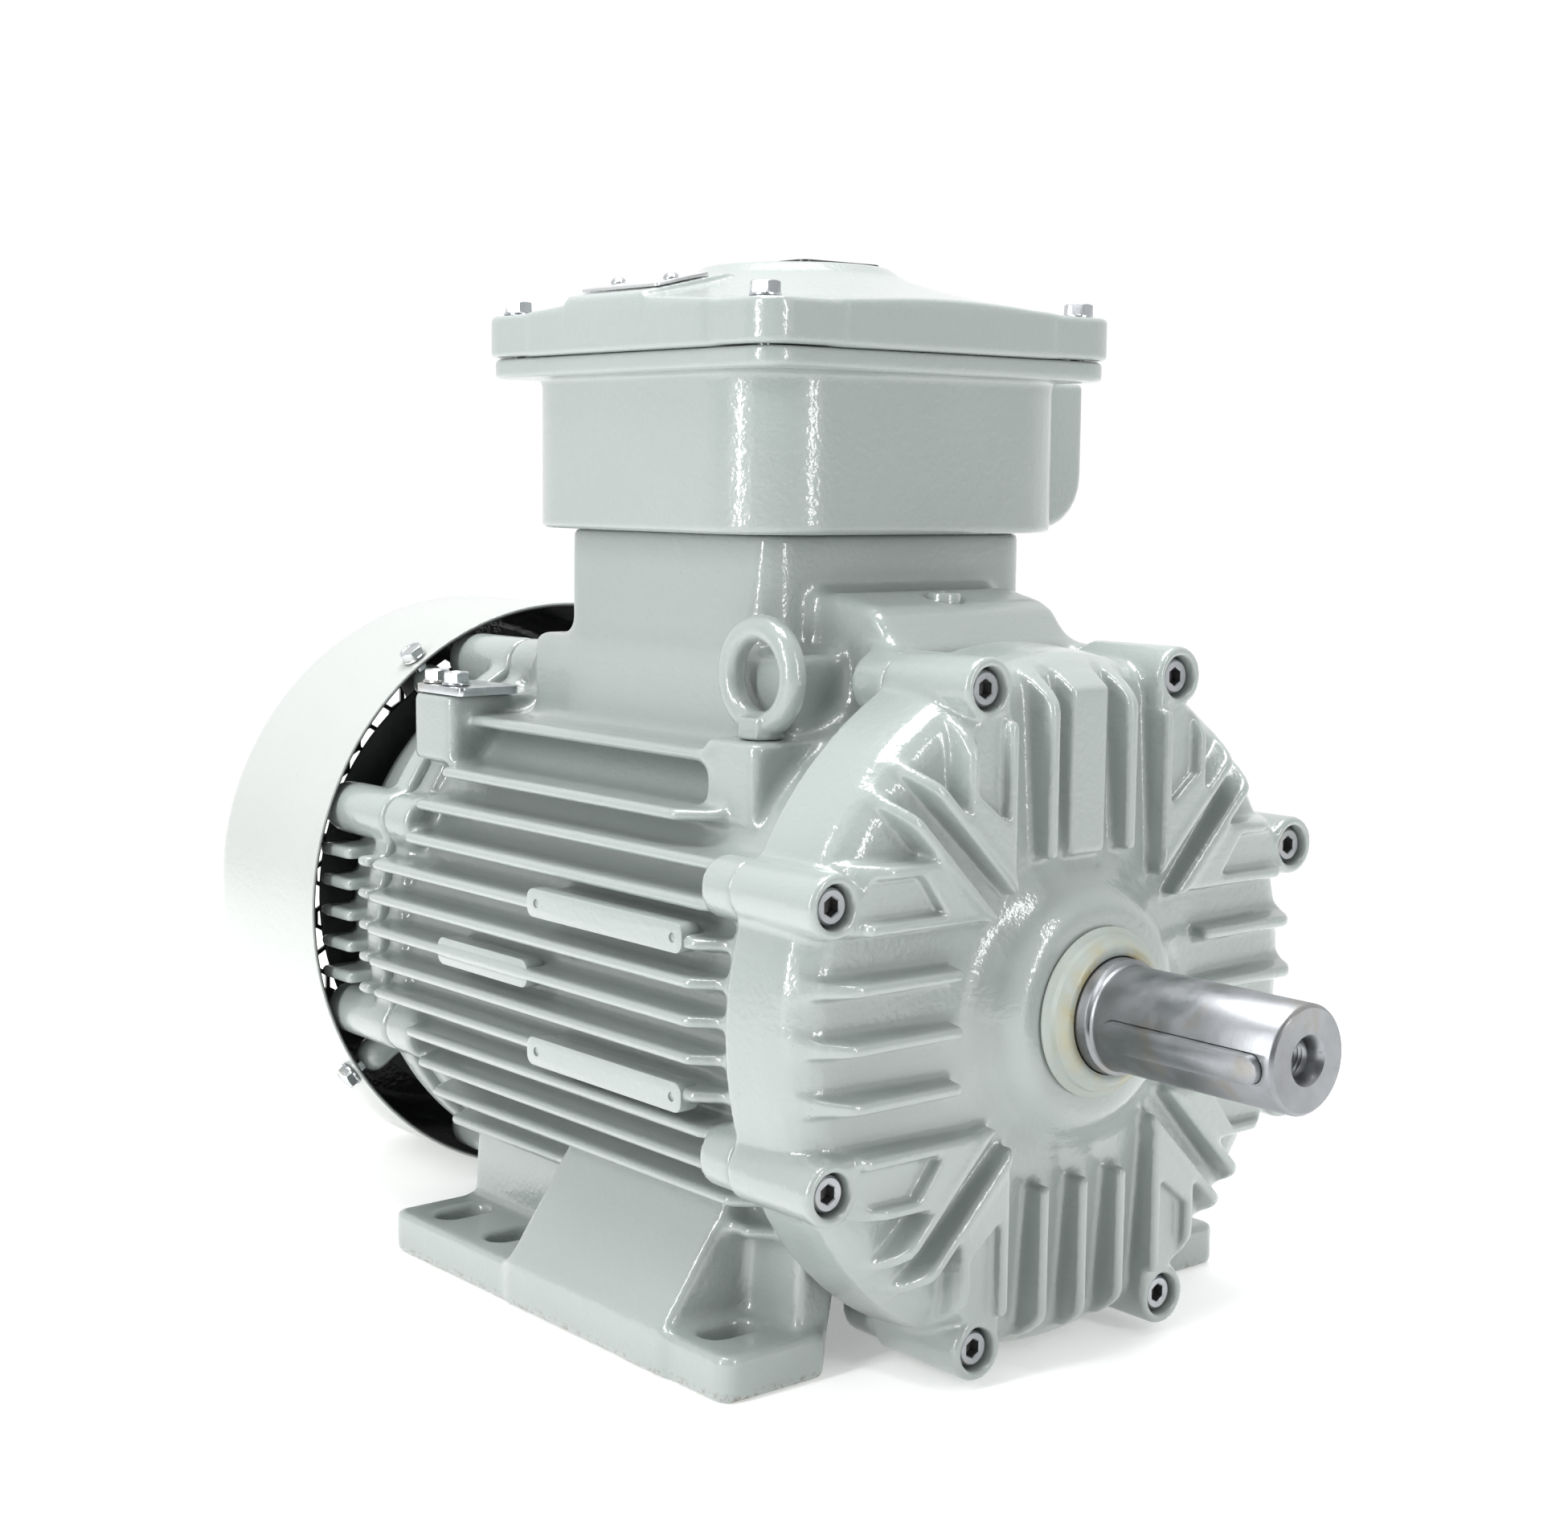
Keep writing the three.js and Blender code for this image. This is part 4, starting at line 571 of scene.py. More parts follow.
class Casting:
    """Distances to a growing solid on a grid, with fillets where shapes meet."""

    def __init__(self, low, high, step):
        self.step = step * 1.0
        pad = 4 * self.step
        self.axes = [np.arange(a - pad, b + pad, self.step) for a, b in zip(low, high)]
        self.field = np.full([len(axis) for axis in self.axes], 50.0, np.float32)

    def window(self, shape, blend):
        reach = blend + 3 * self.step
        return tuple(
            slice(np.searchsorted(axis, low - reach), np.searchsorted(axis, high + reach))
            for axis, low, high in zip(self.axes, shape[0], shape[1])
        )

    def part(self, shape, blend):
        window = self.window(shape, blend)
        return window, shape[2]([axis[w] for axis, w in zip(self.axes, window)]).astype(np.float32)

    def add(self, blend, *shapes):
        for shape in shapes:
            window, new = self.part(shape, blend)
            self.field[window] = smooth_min(self.field[window], new, blend)

    def cut(self, blend, *shapes):
        for shape in shapes:
            window, new = self.part(shape, blend)
            self.field[window] = -smooth_min(-self.field[window], new, blend)

    def skin(self, soften=1):
        """Points in millimetres and four-cornered faces of the zero surface."""
        field = np.clip(self.field, -4 * self.step, 4 * self.step)
        for _ in range(soften):
            for axis in range(3):
                padded = np.concatenate([field.take([0], axis), field, field.take([-1], axis)], axis)
                length = field.shape[axis]
                ahead, here, behind = (padded.take(range(k, k + length), axis) for k in (0, 1, 2))
                field = 0.25 * ahead + 0.5 * here + 0.25 * behind
        inside = field < 0
        strides = np.array([field.shape[1] * field.shape[2], field.shape[2], 1])
        cells, crossings, quads = [], [], []
        for axis in range(3):
            second, third = (axis + 1) % 3, (axis + 2) % 3
            count = field.shape[axis] - 1
            here, ahead = field.take(range(count), axis), field.take(range(1, count + 1), axis)
            edge = np.argwhere((here < 0) != (ahead < 0))
            low, high = here[tuple(edge.T)], ahead[tuple(edge.T)]
            point = edge.astype(float)
            point[:, axis] += low / (low - high)
            home = edge @ strides
            one, other = strides[second], strides[third]
            quad = np.stack([home - one - other, home - other, home, home - one], 1)
            quad[low >= 0] = quad[low >= 0][:, ::-1]
            quads.append(quad)
            cells.append(quad.ravel())
            crossings.append(np.repeat(point, 4, axis=0))
        self.slope = np.stack(np.gradient(field), -1)
        names, index = np.unique(np.concatenate(cells), return_inverse=True)
        points = np.concatenate(crossings)
        total = np.bincount(index, minlength=len(names))
        middle = np.stack([np.bincount(index, points[:, k], len(names)) / total for k in range(3)], 1)
        origin = np.array([axis[0] for axis in self.axes])
        return middle * self.step + origin, index.reshape(-1, 4)

    def mesh(self, name, keep, soften=1):
        """The skin as a mesh in the part frame, thinned to a share of its triangles."""
        verts, quads = self.skin(soften)
        mesh = bpy.data.meshes.new(name)
        mesh.vertices.add(len(verts))
        mesh.vertices.foreach_set("co", place(verts).ravel())
        mesh.loops.add(quads.size)
        mesh.loops.foreach_set("vertex_index", quads.ravel())
        mesh.polygons.add(len(quads))
        mesh.polygons.foreach_set("loop_start", np.arange(0, quads.size, 4))
        mesh.update(calc_edges=True)
        helper = linked("helper", mesh)
        thin = helper.modifiers.new("thin", "DECIMATE")
        thin.ratio = min(1.0, keep * (1.0))
        made = applied(helper)
        made.normals_split_custom_set_from_vertices(self.directions(made))
        return made

    def directions(self, mesh):
        """The field's own outward direction at each vertex, so that thinned flat faces stay smooth."""
        points = np.empty(len(mesh.vertices) * 3)
        mesh.vertices.foreach_get("co", points)
        origin = np.array([axis[0] for axis in self.axes])
        at = (points.reshape(-1, 3) * 1000 - SHOULDER - origin) / self.step
        low = np.clip(np.floor(at).astype(int), 0, np.array(self.field.shape) - 2)
        share = at - low
        found = np.zeros(at.shape)
        for corner in np.ndindex(2, 2, 2):
            weight = np.prod(np.where(corner, share, 1 - share), axis=1, keepdims=True)
            found += weight * self.slope[tuple((low + corner).T)]
        return found / np.linalg.norm(found, axis=1, keepdims=True)


def rounded(p0, p1, q0, q1, radius, steps=5):
    corners = [(p1, q1, 0), (p0, q1, 1), (p0, q0, 2), (p1, q0, 3)]
    points = []
    for p, q, quarter in corners:
        cp = p - radius if p == p1 else p + radius
        cq = q - radius if q == q1 else q + radius
        for i in range(steps + 1):
            angle = (quarter + i / steps) * math.pi / 2
            points.append((cp + radius * math.cos(angle), cq + radius * math.sin(angle)))
    return points


def flipped(points, side):
    return [(side * p, q) for p, q in points]


def screw_circle(radius):
    angles = [math.pi / 8 + i * math.pi / 4 for i in range(8)]
    return [(radius * math.cos(t), radius * math.sin(t)) for t in angles]


def tip_at(offset):
    """How far out a fin reaches that stands this far from the shaft axis."""
    return math.sqrt(FIN_CIRCLE ** 2 - offset ** 2)


PADS = [(28.5, -189, -92), (0, -253, -189), (-28.5, -189, -92)]


def build_frame():
    body = Casting((-312, -131, -132), (-66, 131, 168), 1.45)
    body.add(0, spun("x", [(-312, 0), (-312, 113), (-66, 113), (-66, 0)]))
    body.add(5, spun("x", [(-82, 100), (-77, 121), (-66, 121), (-66, 100)]))
    body.add(4, spun("x", [(-312, 100), (-312, 116.5), (-301, 116.5), (-297, 100)]))
    body.add(4, *[rod("x", at, SCREW_BOSS, -84, -66) for at in screw_circle(FRAME_DE_SCREW_CIRCLE)])
    body.add(4, *[rod("x", at, SCREW_BOSS, -312, -293, 1.0) for at in screw_circle(NDE_SCREW_CIRCLE)])
    for level in [-6, -5, -4, -3, -2, -1, 0, 1, 2, 3, 4, 5, 6.5]:
        z = level * FIN_PITCH
        tip = tip_at(z)
        short = level > 4.5
        rear = -312 if abs(level) < 2.5 else -292
        front = -121 if short else -88
        if short:
            rear = -283
        base = tip - 17
        for side in (-1, 1):
            outline = [
                (rear - 2, side * 60), (rear - 2, side * (base + 4)), (rear + 5, side * tip),
                (front, side * tip), (front + 13, side * (base + 5)), (front + 16, side * 60),
            ]
            body.add(3, slab("z", outline, z - HALF_FIN, z + HALF_FIN, 2.0))
    for step in range(-4, 5):
        y = step * FIN_PITCH
        outline = [(-294, 90), (-292, 112), (-288, tip_at(y)), (-262, tip_at(y)), (-262, 90)]
        body.add(3, slab("y", outline, y - HALF_FIN, y + HALF_FIN, 2.0))
    for step in range(-2, 3):
        y = step * 21.6
        low = 4 - tip_at(y)
        outline = [(-292, -90), (-292, -110), (-287, low), (-92, low), (-80, -110), (-80, -90)]
        body.add(3, slab("y", outline, y - HALF_FIN, y + HALF_FIN, 2.0))
    for side in (-1, 1):
        body.add(5, *foot(side))
    for z, rear, front in PADS:
        for side in (-1, 1):
            near, far = sorted((side * 104, side * 127))
            body.add(2, slab("y", rounded(rear + 1, front - 1, z - 4.6, z + 4.6, 4), near, far, 0.8))
    saddle = slab("x", rounded(-72, 72, 84, 124.5, 5), -268, -100, 3)
    sides = [(-69.2, 80), (-69.2, 124), (-66, 167.5), (66, 167.5), (69.2, 124), (69.2, 80)]
    taper = slab("x", sides, -252.2, -120.3, 0.8)
    body.add(7, saddle)
    body.add(7, both(taper, slab("z", rounded(-252.2, -120.3, -69.2, 69.2, 14), 80, 167.5, 1.2)))
    nose = [
        (-135, 95), (-135, 146.5), (-107, 146.5), (-90, 142.8), (-84, 139.5), (-73.5, 127), (-72.3, 120),
        (-72.3, 95),
    ]
    body.add(7, slab("y", nose, -46.5, 46.5, 4.5))
    body.add(5, slab("z", rounded(-123, -93, -95, -50, 4), 65, 94.5, 1.2))
    body.add(5, slab("z", rounded(-311, -281, -104, -60, 3.5), 70, 98, 1.2))
    body.cut(0, rod("x", (0, 0), 104.3, -400, 0))
    body.cut(0, bar((-222, -150), (-27, 27), (60, 200), 3))
    body.cut(0, rod("z", NOSE_PLUG_AT, 6.9, 140.9, 160))
    body.cut(0, bar((-320, -50), (-150, 150), (-150, -132), 0.1))
    shown("frame", body.mesh("frame", 0.235), "grey_paint", sharp=None)


def foot(side):
    web = [(129.0, -131.6), (129.0, -112.5), (101, -73), (90, -62), (66, -84), (88, -131.6)]
    wall = [(93, -131.6), (92, -118), (89, -64), (70, -82), (79, -131.6)]
    return [
        slab("x", flipped(wall, side), -284, -70, 1.5),
        slab("x", flipped(web, side), -201, -99, 2.5),
        foot_base(side),
    ]


def foot_base(side):
    near, far = sorted((side * 81.4, side * 129.4))
    whole = slab("z", rounded(-288, -64, near, far, 6), -132, -115, 1.6)
    gaps = [bar((-200, -124), (near - 5, far + 5), (-140, -129), 1.2)]
    for x in (-89, -229, -267):
        gaps.append(slab("z", rounded(x - 6, x + 6, side * 108 - 12, side * 108 + 12, 5.99), -140, -105, 0.2))

    def values(grid):
        solid = whole[2](grid)
        for gap in gaps:
            solid = np.maximum(solid, -gap[2](grid))
        return solid

    return whole[0], whole[1], values


def mirrored(sy, sz, swap):
    """Maps an outline of one eighth of the shield to another eighth."""
    return lambda outline: [(sy * q, sz * p) if swap else (sy * p, sz * q) for p, q in outline]


EIGHTHS = [mirrored(sy, sz, swap) for sy in (-1, 1) for sz in (-1, 1) for swap in (False, True)]


def build_drive_end_shield():
    body = Casting((-73, -131, -131), (-12, 131, 131), 1.1)
    outer = [
        (-65.7, 0), (-65.7, 130), (-46, 128.4), (-39, 127.2), (-34.5, 124.5), (-31.2, 120.5), (-29.9, 116),
        (-26.6, 70), (-25.6, 57), (-24, 52.5), (-20.5, 47), (-16.2, 42.5), (-14, 39.5), (-13.2, 37),
        (-13, 34), (-13, 0),
    ]
    body.add(0, spun("x", outer))
    body.add(3, *[rod("x", at, SCREW_BOSS, -65.7, -21.8, 1.4) for at in screw_circle(DE_SCREW_CIRCLE)])
    rim = spun("x", [
        (-60, 0), (-60, 127), (-40, 126.6), (-33, 124), (-27, 120.5), (-21.5, 116.5), (-18.6, 113.5),
        (-17.4, 110), (-17.3, 0),
    ])
    for turn in EIGHTHS:
        for outline, top in eighth_ribs():
            body.add(2, both(rim, slab("x", turn(outline), -40, top, 1.3)))
    for z in (-20, 0, 20):
        for side in (-1, 1):
            near, far = sorted((side * 62, side * 126))
            body.add(2.5, both(rim, slab("y", drafted(z), near, far, 1.3)))
    for y, half, far in [(-20, 2.3, 122), (0, 9.2, 127), (20, 2.3, 122)]:
        top = -17.6 if half < 5 else -20.5
        body.add(2.5, both(rim, slab("z", drafted(y, half, top), 56, far, 1.3)))
        body.add(2.5, both(rim, slab("z", drafted(y), -120, -62, 1.3)))
    for turn in EIGHTHS:
        pocket = [(71, 42.0), (109, 42.0), (109, 56.2), (82, 56.2)]
        body.cut(1, slab("x", turn(pocket), -22.4, -10, 0.8))
    body.cut(0, rod("x", (0, 0), SHAFT_HOLE, -80, 0, 0.1))
    body.cut(0, spun("x", [(-80, 0), (-80, 40.3), (-40.4, 40.3), (-40.4, 0)]))
    body.cut(1, spun("x", [(-90, 49), (-90, 103), (-39, 103), (-35, 50)]))
    body.cut(0, spun("x", [(-90, 0), (-90, 104), (-59.2, 104), (-59.2, 0)]))
    body.add(0, spun("x", [(-72, 97), (-72, 104), (-38, 104), (-38, 97)]))
    body.add(0, spun("x", [(-59, 40.3), (-59, 49.5), (-38, 49.5), (-38, 40.3)]))
    body.cut(0, *[rod("x", at, SCREW_HEAD_HOLE, -32.8, 0, 0.1) for at in screw_circle(DE_SCREW_CIRCLE)])
    shown("de_shield", body.mesh("de_shield", 0.34), "grey_paint", sharp=None)


def drafted(middle, half=2.1, top=-17.6):
    """Section of a rib (x, across): its sides lean in towards its crest."""
    foot = half + 2.2
    return [(-42, middle - foot), (top, middle - half), (top, middle + half), (-42, middle + foot)]


def eighth_ribs():
    """Outlines (y, z) and heights of one eighth's tongue, its ridge and its diagonal rib."""
    tongue = [(48, 37.5), (122, 37.5), (122, 60.5), (71, 60.5)]
    ridged = [(48, 37.5), (106, 37.5), (106, 60.5), (71, 60.5)]
    diagonal = [(43.5, 36.5), (50.0, 36.5), (99.5, 86), (93, 86)]
    return [(tongue, -22.0), (ridged, -17.8), (diagonal, -17.6)]


def build_rear_shield():
    body = Casting((-362, -130, -130), (-306, 130, 130), 1.4)
    body.add(0, spun("x", [
        (-362, 0), (-362, 102), (-358, 106), (-331, 110), (-326, 118), (-323, 120), (-312.3, 120),
        (-312.3, 0),
    ]))
    body.add(3, *[rod("x", at, SCREW_BOSS, -362, -312.3, 2.5) for at in screw_circle(NDE_SCREW_CIRCLE)])
    for level in range(-2, 3):
        for side in (-1, 1):
            z = level * FIN_PITCH
            near, far = sorted((side * 95, side * 121))
            body.add(3, bar((-362, -336), (near, far), (z - 2.6, z + 2.6), 2.4))
            near, far = sorted((side * 100, side * 126))
            body.add(3, bar((-322, -312.3), (near, far), (z - 2.3, z + 2.3), 2.0))
    for angle in COWL_ANGLES:
        c, s = math.cos(angle), math.sin(angle)
        body.add(4, strut((-357.5, 95 * c, 95 * s), (-357.5, 118.5 * c, 118.5 * s), 7.5))
    body.cut(0, rod("x", (0, 0), SHAFT_HOLE, -400, -300, 0.1))
    body.cut(0, spun("x", [(-352, 0), (-352, 40.3), (-300, 40.3), (-300, 0)]))
    body.cut(1, spun("x", [(-353, 49.5), (-353, 98), (-300, 98), (-300, 49.5)]))
    body.cut(0, spun("x", [(-331, 0), (-331, 99), (-300, 99), (-300, 0)]))
    body.add(0, spun("x", [(-324, 99), (-324, 104), (-307, 104), (-307, 99)]))
    body.cut(0, *[rod("x", at, SCREW_HEAD_HOLE, -380, -353, 0.1) for at in screw_circle(NDE_SCREW_CIRCLE)])
    shown("nde_shield", body.mesh("nde_shield", 0.36), "grey_paint", sharp=None)


LID_MIDDLE = -187.0
LID_BOLTS = [(LID_MIDDLE + sx * 79, sy * 80) for sx, sy in [(-1, -1), (1, -1), (1, 1), (-1, 1)]]


def build_terminal_box():
    body = Casting((-279, -90, 167), (-95, 113, 236), 1.2)
    body.add(0, slab("z", rounded(-268, -105, -82.5, 82.5, 32.5, 10), 167.8, 232, 1.5))
    body.add(3, slab("z", rounded(-278.2, -95.8, -88.8, 88.8, 12), 227.3, 235.3, 1.2))
    pad = [(60, 169)] + [
        (90 + 22 * math.cos(t), 191 + 22 * math.sin(t)) for t in np.linspace(-math.pi / 2, 0, 7)
    ] + [(112, 228.5), (60, 228.5)]
    body.add(3, slab("x", pad, -239, -134, 2.0))
    body.cut(1, slab("z", rounded(-262, -111, -76.5, 76.5, 26.5), 173.8, 300, 1.0))
    body.cut(0, bar((-222, -150), (-27, 27), (150, 180), 2))
    for x in ENTRIES_X:
        body.cut(0, rod("y", (x, ENTRY_HEIGHT), 12.8, 74, 130, 0.2))
    shown("terminal_box", body.mesh("terminal_box", 0.35), "grey_paint", sharp=None)


def build_lid():
    body = Casting((-280.4, -91, 235), (-93.6, 91, 272.5), 1.05)
    plan = rounded(-279.4, -94.6, -90, 90, 12)
    body.add(0, slab("z", plan, 235.6, 252.3, 1.6))
    dome = [(236, 0), (236, 106)]
    for i in range(13):
        radius = 106 - 69 * i / 12
        dome.append((252.3 + 19.2 * (1 - ((radius - 37) / 69) ** 0.62), radius))
    dome.append((271.5, 0))
    body.add(2, both(spun("z", dome, (LID_MIDDLE, 0)), slab("z", plan, 235.6, 290, 1.6)))
    seat = [(-89.8, 246), (-89.8, 256.4), (-89, 257.3), (-51, 266.1), (-47, 266.4), (-38, 246)]
    body.add(2, slab("x", seat, -219, -168, 0.8))
    for x, y in LID_BOLTS:
        body.add(1.5, rod("z", (x, y), 9.0, 238, 252.3, 0.4))
        body.cut(0.8, both(rod("z", (x, y), 9.6, 252.3, 290, 0.2), slab("z", plan, 240, 290, 0.1)))
    body.cut(1, spun("z", [(230, 0), (230, 62), (248, 62), (262, 36), (262, 0)], (LID_MIDDLE, 0)))
    shown("terminal_box_lid", body.mesh("terminal_box_lid", 0.35), "grey_paint", sharp=None)


def build_eyebolt():
    body = Casting((-132, -90, 78), (-84, -70, 141), 0.62)
    (x0, y0), seat, middle = EYEBOLT_AT, 94.8, 117.3
    ring, wire = 17.5, 5.0

    def values(grid):
        x, y, z = grid[0][:, None, None] - x0, grid[1][None, :, None] - y0, grid[2][None, None, :] - middle
        return np.hypot(np.hypot(x, z) - ring, y) - wire

    body.add(0, (np.array([-131, -86, middle - 23]), np.array([-85, -74, middle + 23]), values))
    turns = np.arange(6) * math.pi / 3 + 0.2
    hexagonal = [(x0 + 8.9 * math.cos(t), y0 + 8.9 * math.sin(t)) for t in turns]
    body.add(2, slab("z", hexagonal, seat, seat + 8, 0.8))
    body.add(0.5, rod("z", EYEBOLT_AT, 8.4, seat, seat + 1.6, 0.3))
    body.add(0, rod("z", EYEBOLT_AT, 4.7, 79, seat + 2, 0.3))
    room = bar((x0 - 12, x0 + 12), (y0 - 8, y0 + 8), (middle - 12, middle + 12))
    body.cut(0.8, both(rod("y", (x0, middle), 12.5, y0 - 10, y0 + 10, 0.1), room))
    shown("eyebolt", body.mesh("eyebolt", 0.6), "grey_paint", sharp=None)


build_frame()
build_drive_end_shield()
build_rear_shield()
build_terminal_box()
build_lid()
build_eyebolt()


# ---------------- screws and small fittings

for i, (y, z) in enumerate(screw_circle(DE_SCREW_CIRCLE)):
    screw = socket_screw("de_screw", ALONG["x"]((0, y, z)), -32.5, 6.5, 8.0, 3.9, 42, 6.0)
    shown(f"de_shield_screw_{i + 1}", screw, "zinc_plate", look="screw_steel", recess=RECESS_FACES)
for i, (y, z) in enumerate(screw_circle(NDE_SCREW_CIRCLE)):
    turn = ALONG["x"]((0, y, z))
    screw = socket_screw("nde_screw", lambda p: turn((-p[0], p[1], -p[2])), 353.3, 6.5, 8.0, 3.9, 50, 6.0)
    shown(f"nde_shield_screw_{i + 1}", screw, "zinc_plate", look="screw_steel", recess=RECESS_FACES)
for i, (x, y) in enumerate(LID_BOLTS):
    bolt = hex_screw("lid_bolt", ALONG["z"]((x, y, 0)), 252.6, 10, 4.2, 6, 2.9, 23)
    shown(f"lid_bolt_{i + 1}", bolt, "zinc_plate")
for i, (x, y) in enumerate(EARTH_SCREWS):
    screw = hex_screw("earth_screw", ALONG["z"]((x, y, 0)), 102.1, 10, 4.2, 6, 2.9, 14)
    shown(f"earth_screw_{i + 1}", screw, "zinc_plate")
for i, angle in enumerate(COWL_ANGLES):
    screw = hex_screw("cowl_screw", outwards(angle, COWL_SCREW_X), 131.4, 9.6, 3.4, 5.6, 2.9, 15)
    shown(f"cowl_screw_{i + 1}", screw, "zinc_plate")


def plate(name, outline, start, end, turn, bevel, holes=()):
    """A flat plate with softened edges. Its outline is (p, q) and its thickness runs along."""
    rings = [[(along, p, q) for p, q in outline] for along in (start, end)]
    mesh = outward(name, *loft(rings, turn))
    work = bmesh.new()
    work.from_mesh(mesh)
    sharp = [e for e in work.edges if e.calc_face_angle(0) > 0.9]
    bmesh.ops.bevel(work, geom=sharp, offset=bevel * 0.001, segments=2, affect="EDGES", profile=0.6)
    work.to_mesh(mesh)
    work.free()
    tools = []
    for p, q, radius in holes:
        ends = [shifted(circle(along, radius, 24), p, q) for along in (start - 2, end + 2)]
        tools.append(outward("hole", *loft(ends, turn)))
    return carve(mesh, *tools) if tools else mesh


def shifted(ring, p, q):
    return [(along, a + p, b + q) for along, a, b in ring]


clamp_turn = ALONG["z"]((0, 0, 0))
clamp_holes = [(x, y, 3.3) for x, y in EARTH_SCREWS]
clamp = plate("earth_clamp", rounded(-310, -275, -103, -74, 2.5), 98.3, 101.8, clamp_turn, 0.5, clamp_holes)
shown("earth_clamp", clamp, "zinc_plate")

pads = []
for z, rear, front in PADS:
    for side in (-1, 1):
        near, far = sorted((side * 120, side * 128))
        holes = [(rear + 6.5, z, 1.8), (front - 5.5, z, 1.8)]
        ends = rounded(rear, front, z - 5.5, z + 5.5, 4)
        pads.append(plate("pad", ends, near, far, lambda p: place([p[1], p[0], p[2]]), 0.6, holes))
shown("plate_pads", united(*pads), "grey_paint", nodes=[])

tilt = math.atan2(6.5, 28)


def on_seat(point):
    """A point (height, x, y) about the middle of the sloping seat on the lid."""
    height, x, y = point
    c, s = math.cos(tilt), math.sin(tilt)
    return place([x - 193.5, -70 + y * c - height * s, 261.75 + y * s + height * c])


lid_plate = plate("lid_plate", rounded(-24.5, 24.5, -13, 13, 1.6), 0.3, 1.5, on_seat, 0.25)
shown("lid_plate", lid_plate, "aluminium_plate")
for i, x in enumerate((-17, 17)):
    dome = [(1.8, 3.0), (2.3, 2.95), (3.0, 2.4), (3.5, 1.6), (3.75, 0.8), (3.8, 0.05)]
    rings = [shifted(circle(along, radius, 24), x, 0) for along, radius in dome]
    shown(f"lid_plate_screw_{i + 1}", outward("plate_screw", *loft(rings, on_seat)), "zinc_plate")
top_plate = plate("lid_top_plate", rounded(-202.5, -161.5, -17.5, 23.5, 4), 271.8, 273.0, clamp_turn, 0.3)
shown("lid_top_plate", top_plate, "aluminium_plate", look="dark_plate")
plug_profile = [
    (141.3, 0), (141.3, 6.4), (145.4, 6.4), (146.1, 6.0), (146.4, 5.2), (146.4, 2.4), (146.0, 2.0),
    (146.0, 0),
]
shown("nose_plug", lathe("nose_plug", "z", plug_profile, (*NOSE_PLUG_AT, 0), 48), "grey_paint")
for i, x in enumerate(ENTRIES_X):
    turn = lambda p: place([x + p[1], p[0], ENTRY_HEIGHT + p[2]])
    screw = hex_screw("entry_plug", turn, 112.3, 32, 4.7, 17.8, 12.4, 20)
    shown(f"entry_plug_{i + 1}", screw, "zinc_plate")

# ---------------- shaft, key and seal

SHAFT_PROFILE = [
    (-438, 0), (-438, 12.6), (-437, 13.6), (-372, 13.6), (-371.6, 16.6), (-371, 17), (-348, 17), (-348, 20),
    (-331, 20), (-331, 24),
    (-286, 24), (-286, 27), (-98, 27), (-98, 24), (-59, 24), (-59, 20), (-38, 20), (-37.5, 21),
    (-1.2, 21), (-0.4, 20.8), (0, 20.2), (0.3, 19.4), (1.0, 19.0), (1.8, 18.85), (2.6, 19.0), (40, 19.0),
    (78.4, 19.0),
    (79.3, 18.5), (80, 17.6), (80, 8.8), (79.5, 8.3), (77, 6.9), (74.6, 6.7),
]
for i in range(12):
    SHAFT_PROFILE += [(74 - i * 1.75, 6.5), (73.1 - i * 1.75, 5.6)]
SHAFT_PROFILE += [(52, 5.6), (49, 0.4), (49, 0)]
shaft_mesh = lathe("shaft", "x", SHAFT_PROFILE, sides=96)


def about_shaft(turn_angle):
    """Turns (out, along, across) beside the shaft about its axis."""
    c, s = math.cos(turn_angle), math.sin(turn_angle)
    return lambda p: place([p[1], p[2] * c - p[0] * s, p[2] * s + p[0] * c])


KEY_ANGLE = math.radians(95)
key_turn = about_shaft(KEY_ANGLE)
key_outline = rounded(6, 76, -5, 5, 4.98, 8)
slot_outline = rounded(5.7, 76.3, -5.3, 5.3, 5.28, 8)
slot_tool = outward("slot", *loft([[(h, p, q) for p, q in slot_outline] for h in (13.7, 26)], key_turn))
shown("shaft", carve(shaft_mesh, slot_tool), "shaft_steel", body="rotor")
shown("shaft_key", plate("shaft_key", key_outline, 14, 22, key_turn, 0.45), "shaft_steel", body="rotor")
seal = hollow_lathe("shaft_seal", "x", [
    (-12.5, 21.4), (-12.5, 30.3), (-12.1, 30.9), (-11.4, 31), (-10.9, 30.6), (-10.2, 29.2), (-9.8, 28.6),
    (-8.6, 28.3), (-7.8, 28.1), (-7.2, 27.2), (-6.2, 26.2), (-5.2, 25.3), (-4.8, 24.4), (-4.6, 23.4),
    (-4.7, 22.4), (-5.2, 21.5),
], sides=96)
shown("shaft_seal", seal, "seal_rubber", body="rotor", sharp=40)


# ---------------- fan and cowl


FAN_BLADES = 7
COWL_BEND = (-431, 117)
COWL_BEND_RADIUS = 14
COWL_SHEET = 1.6


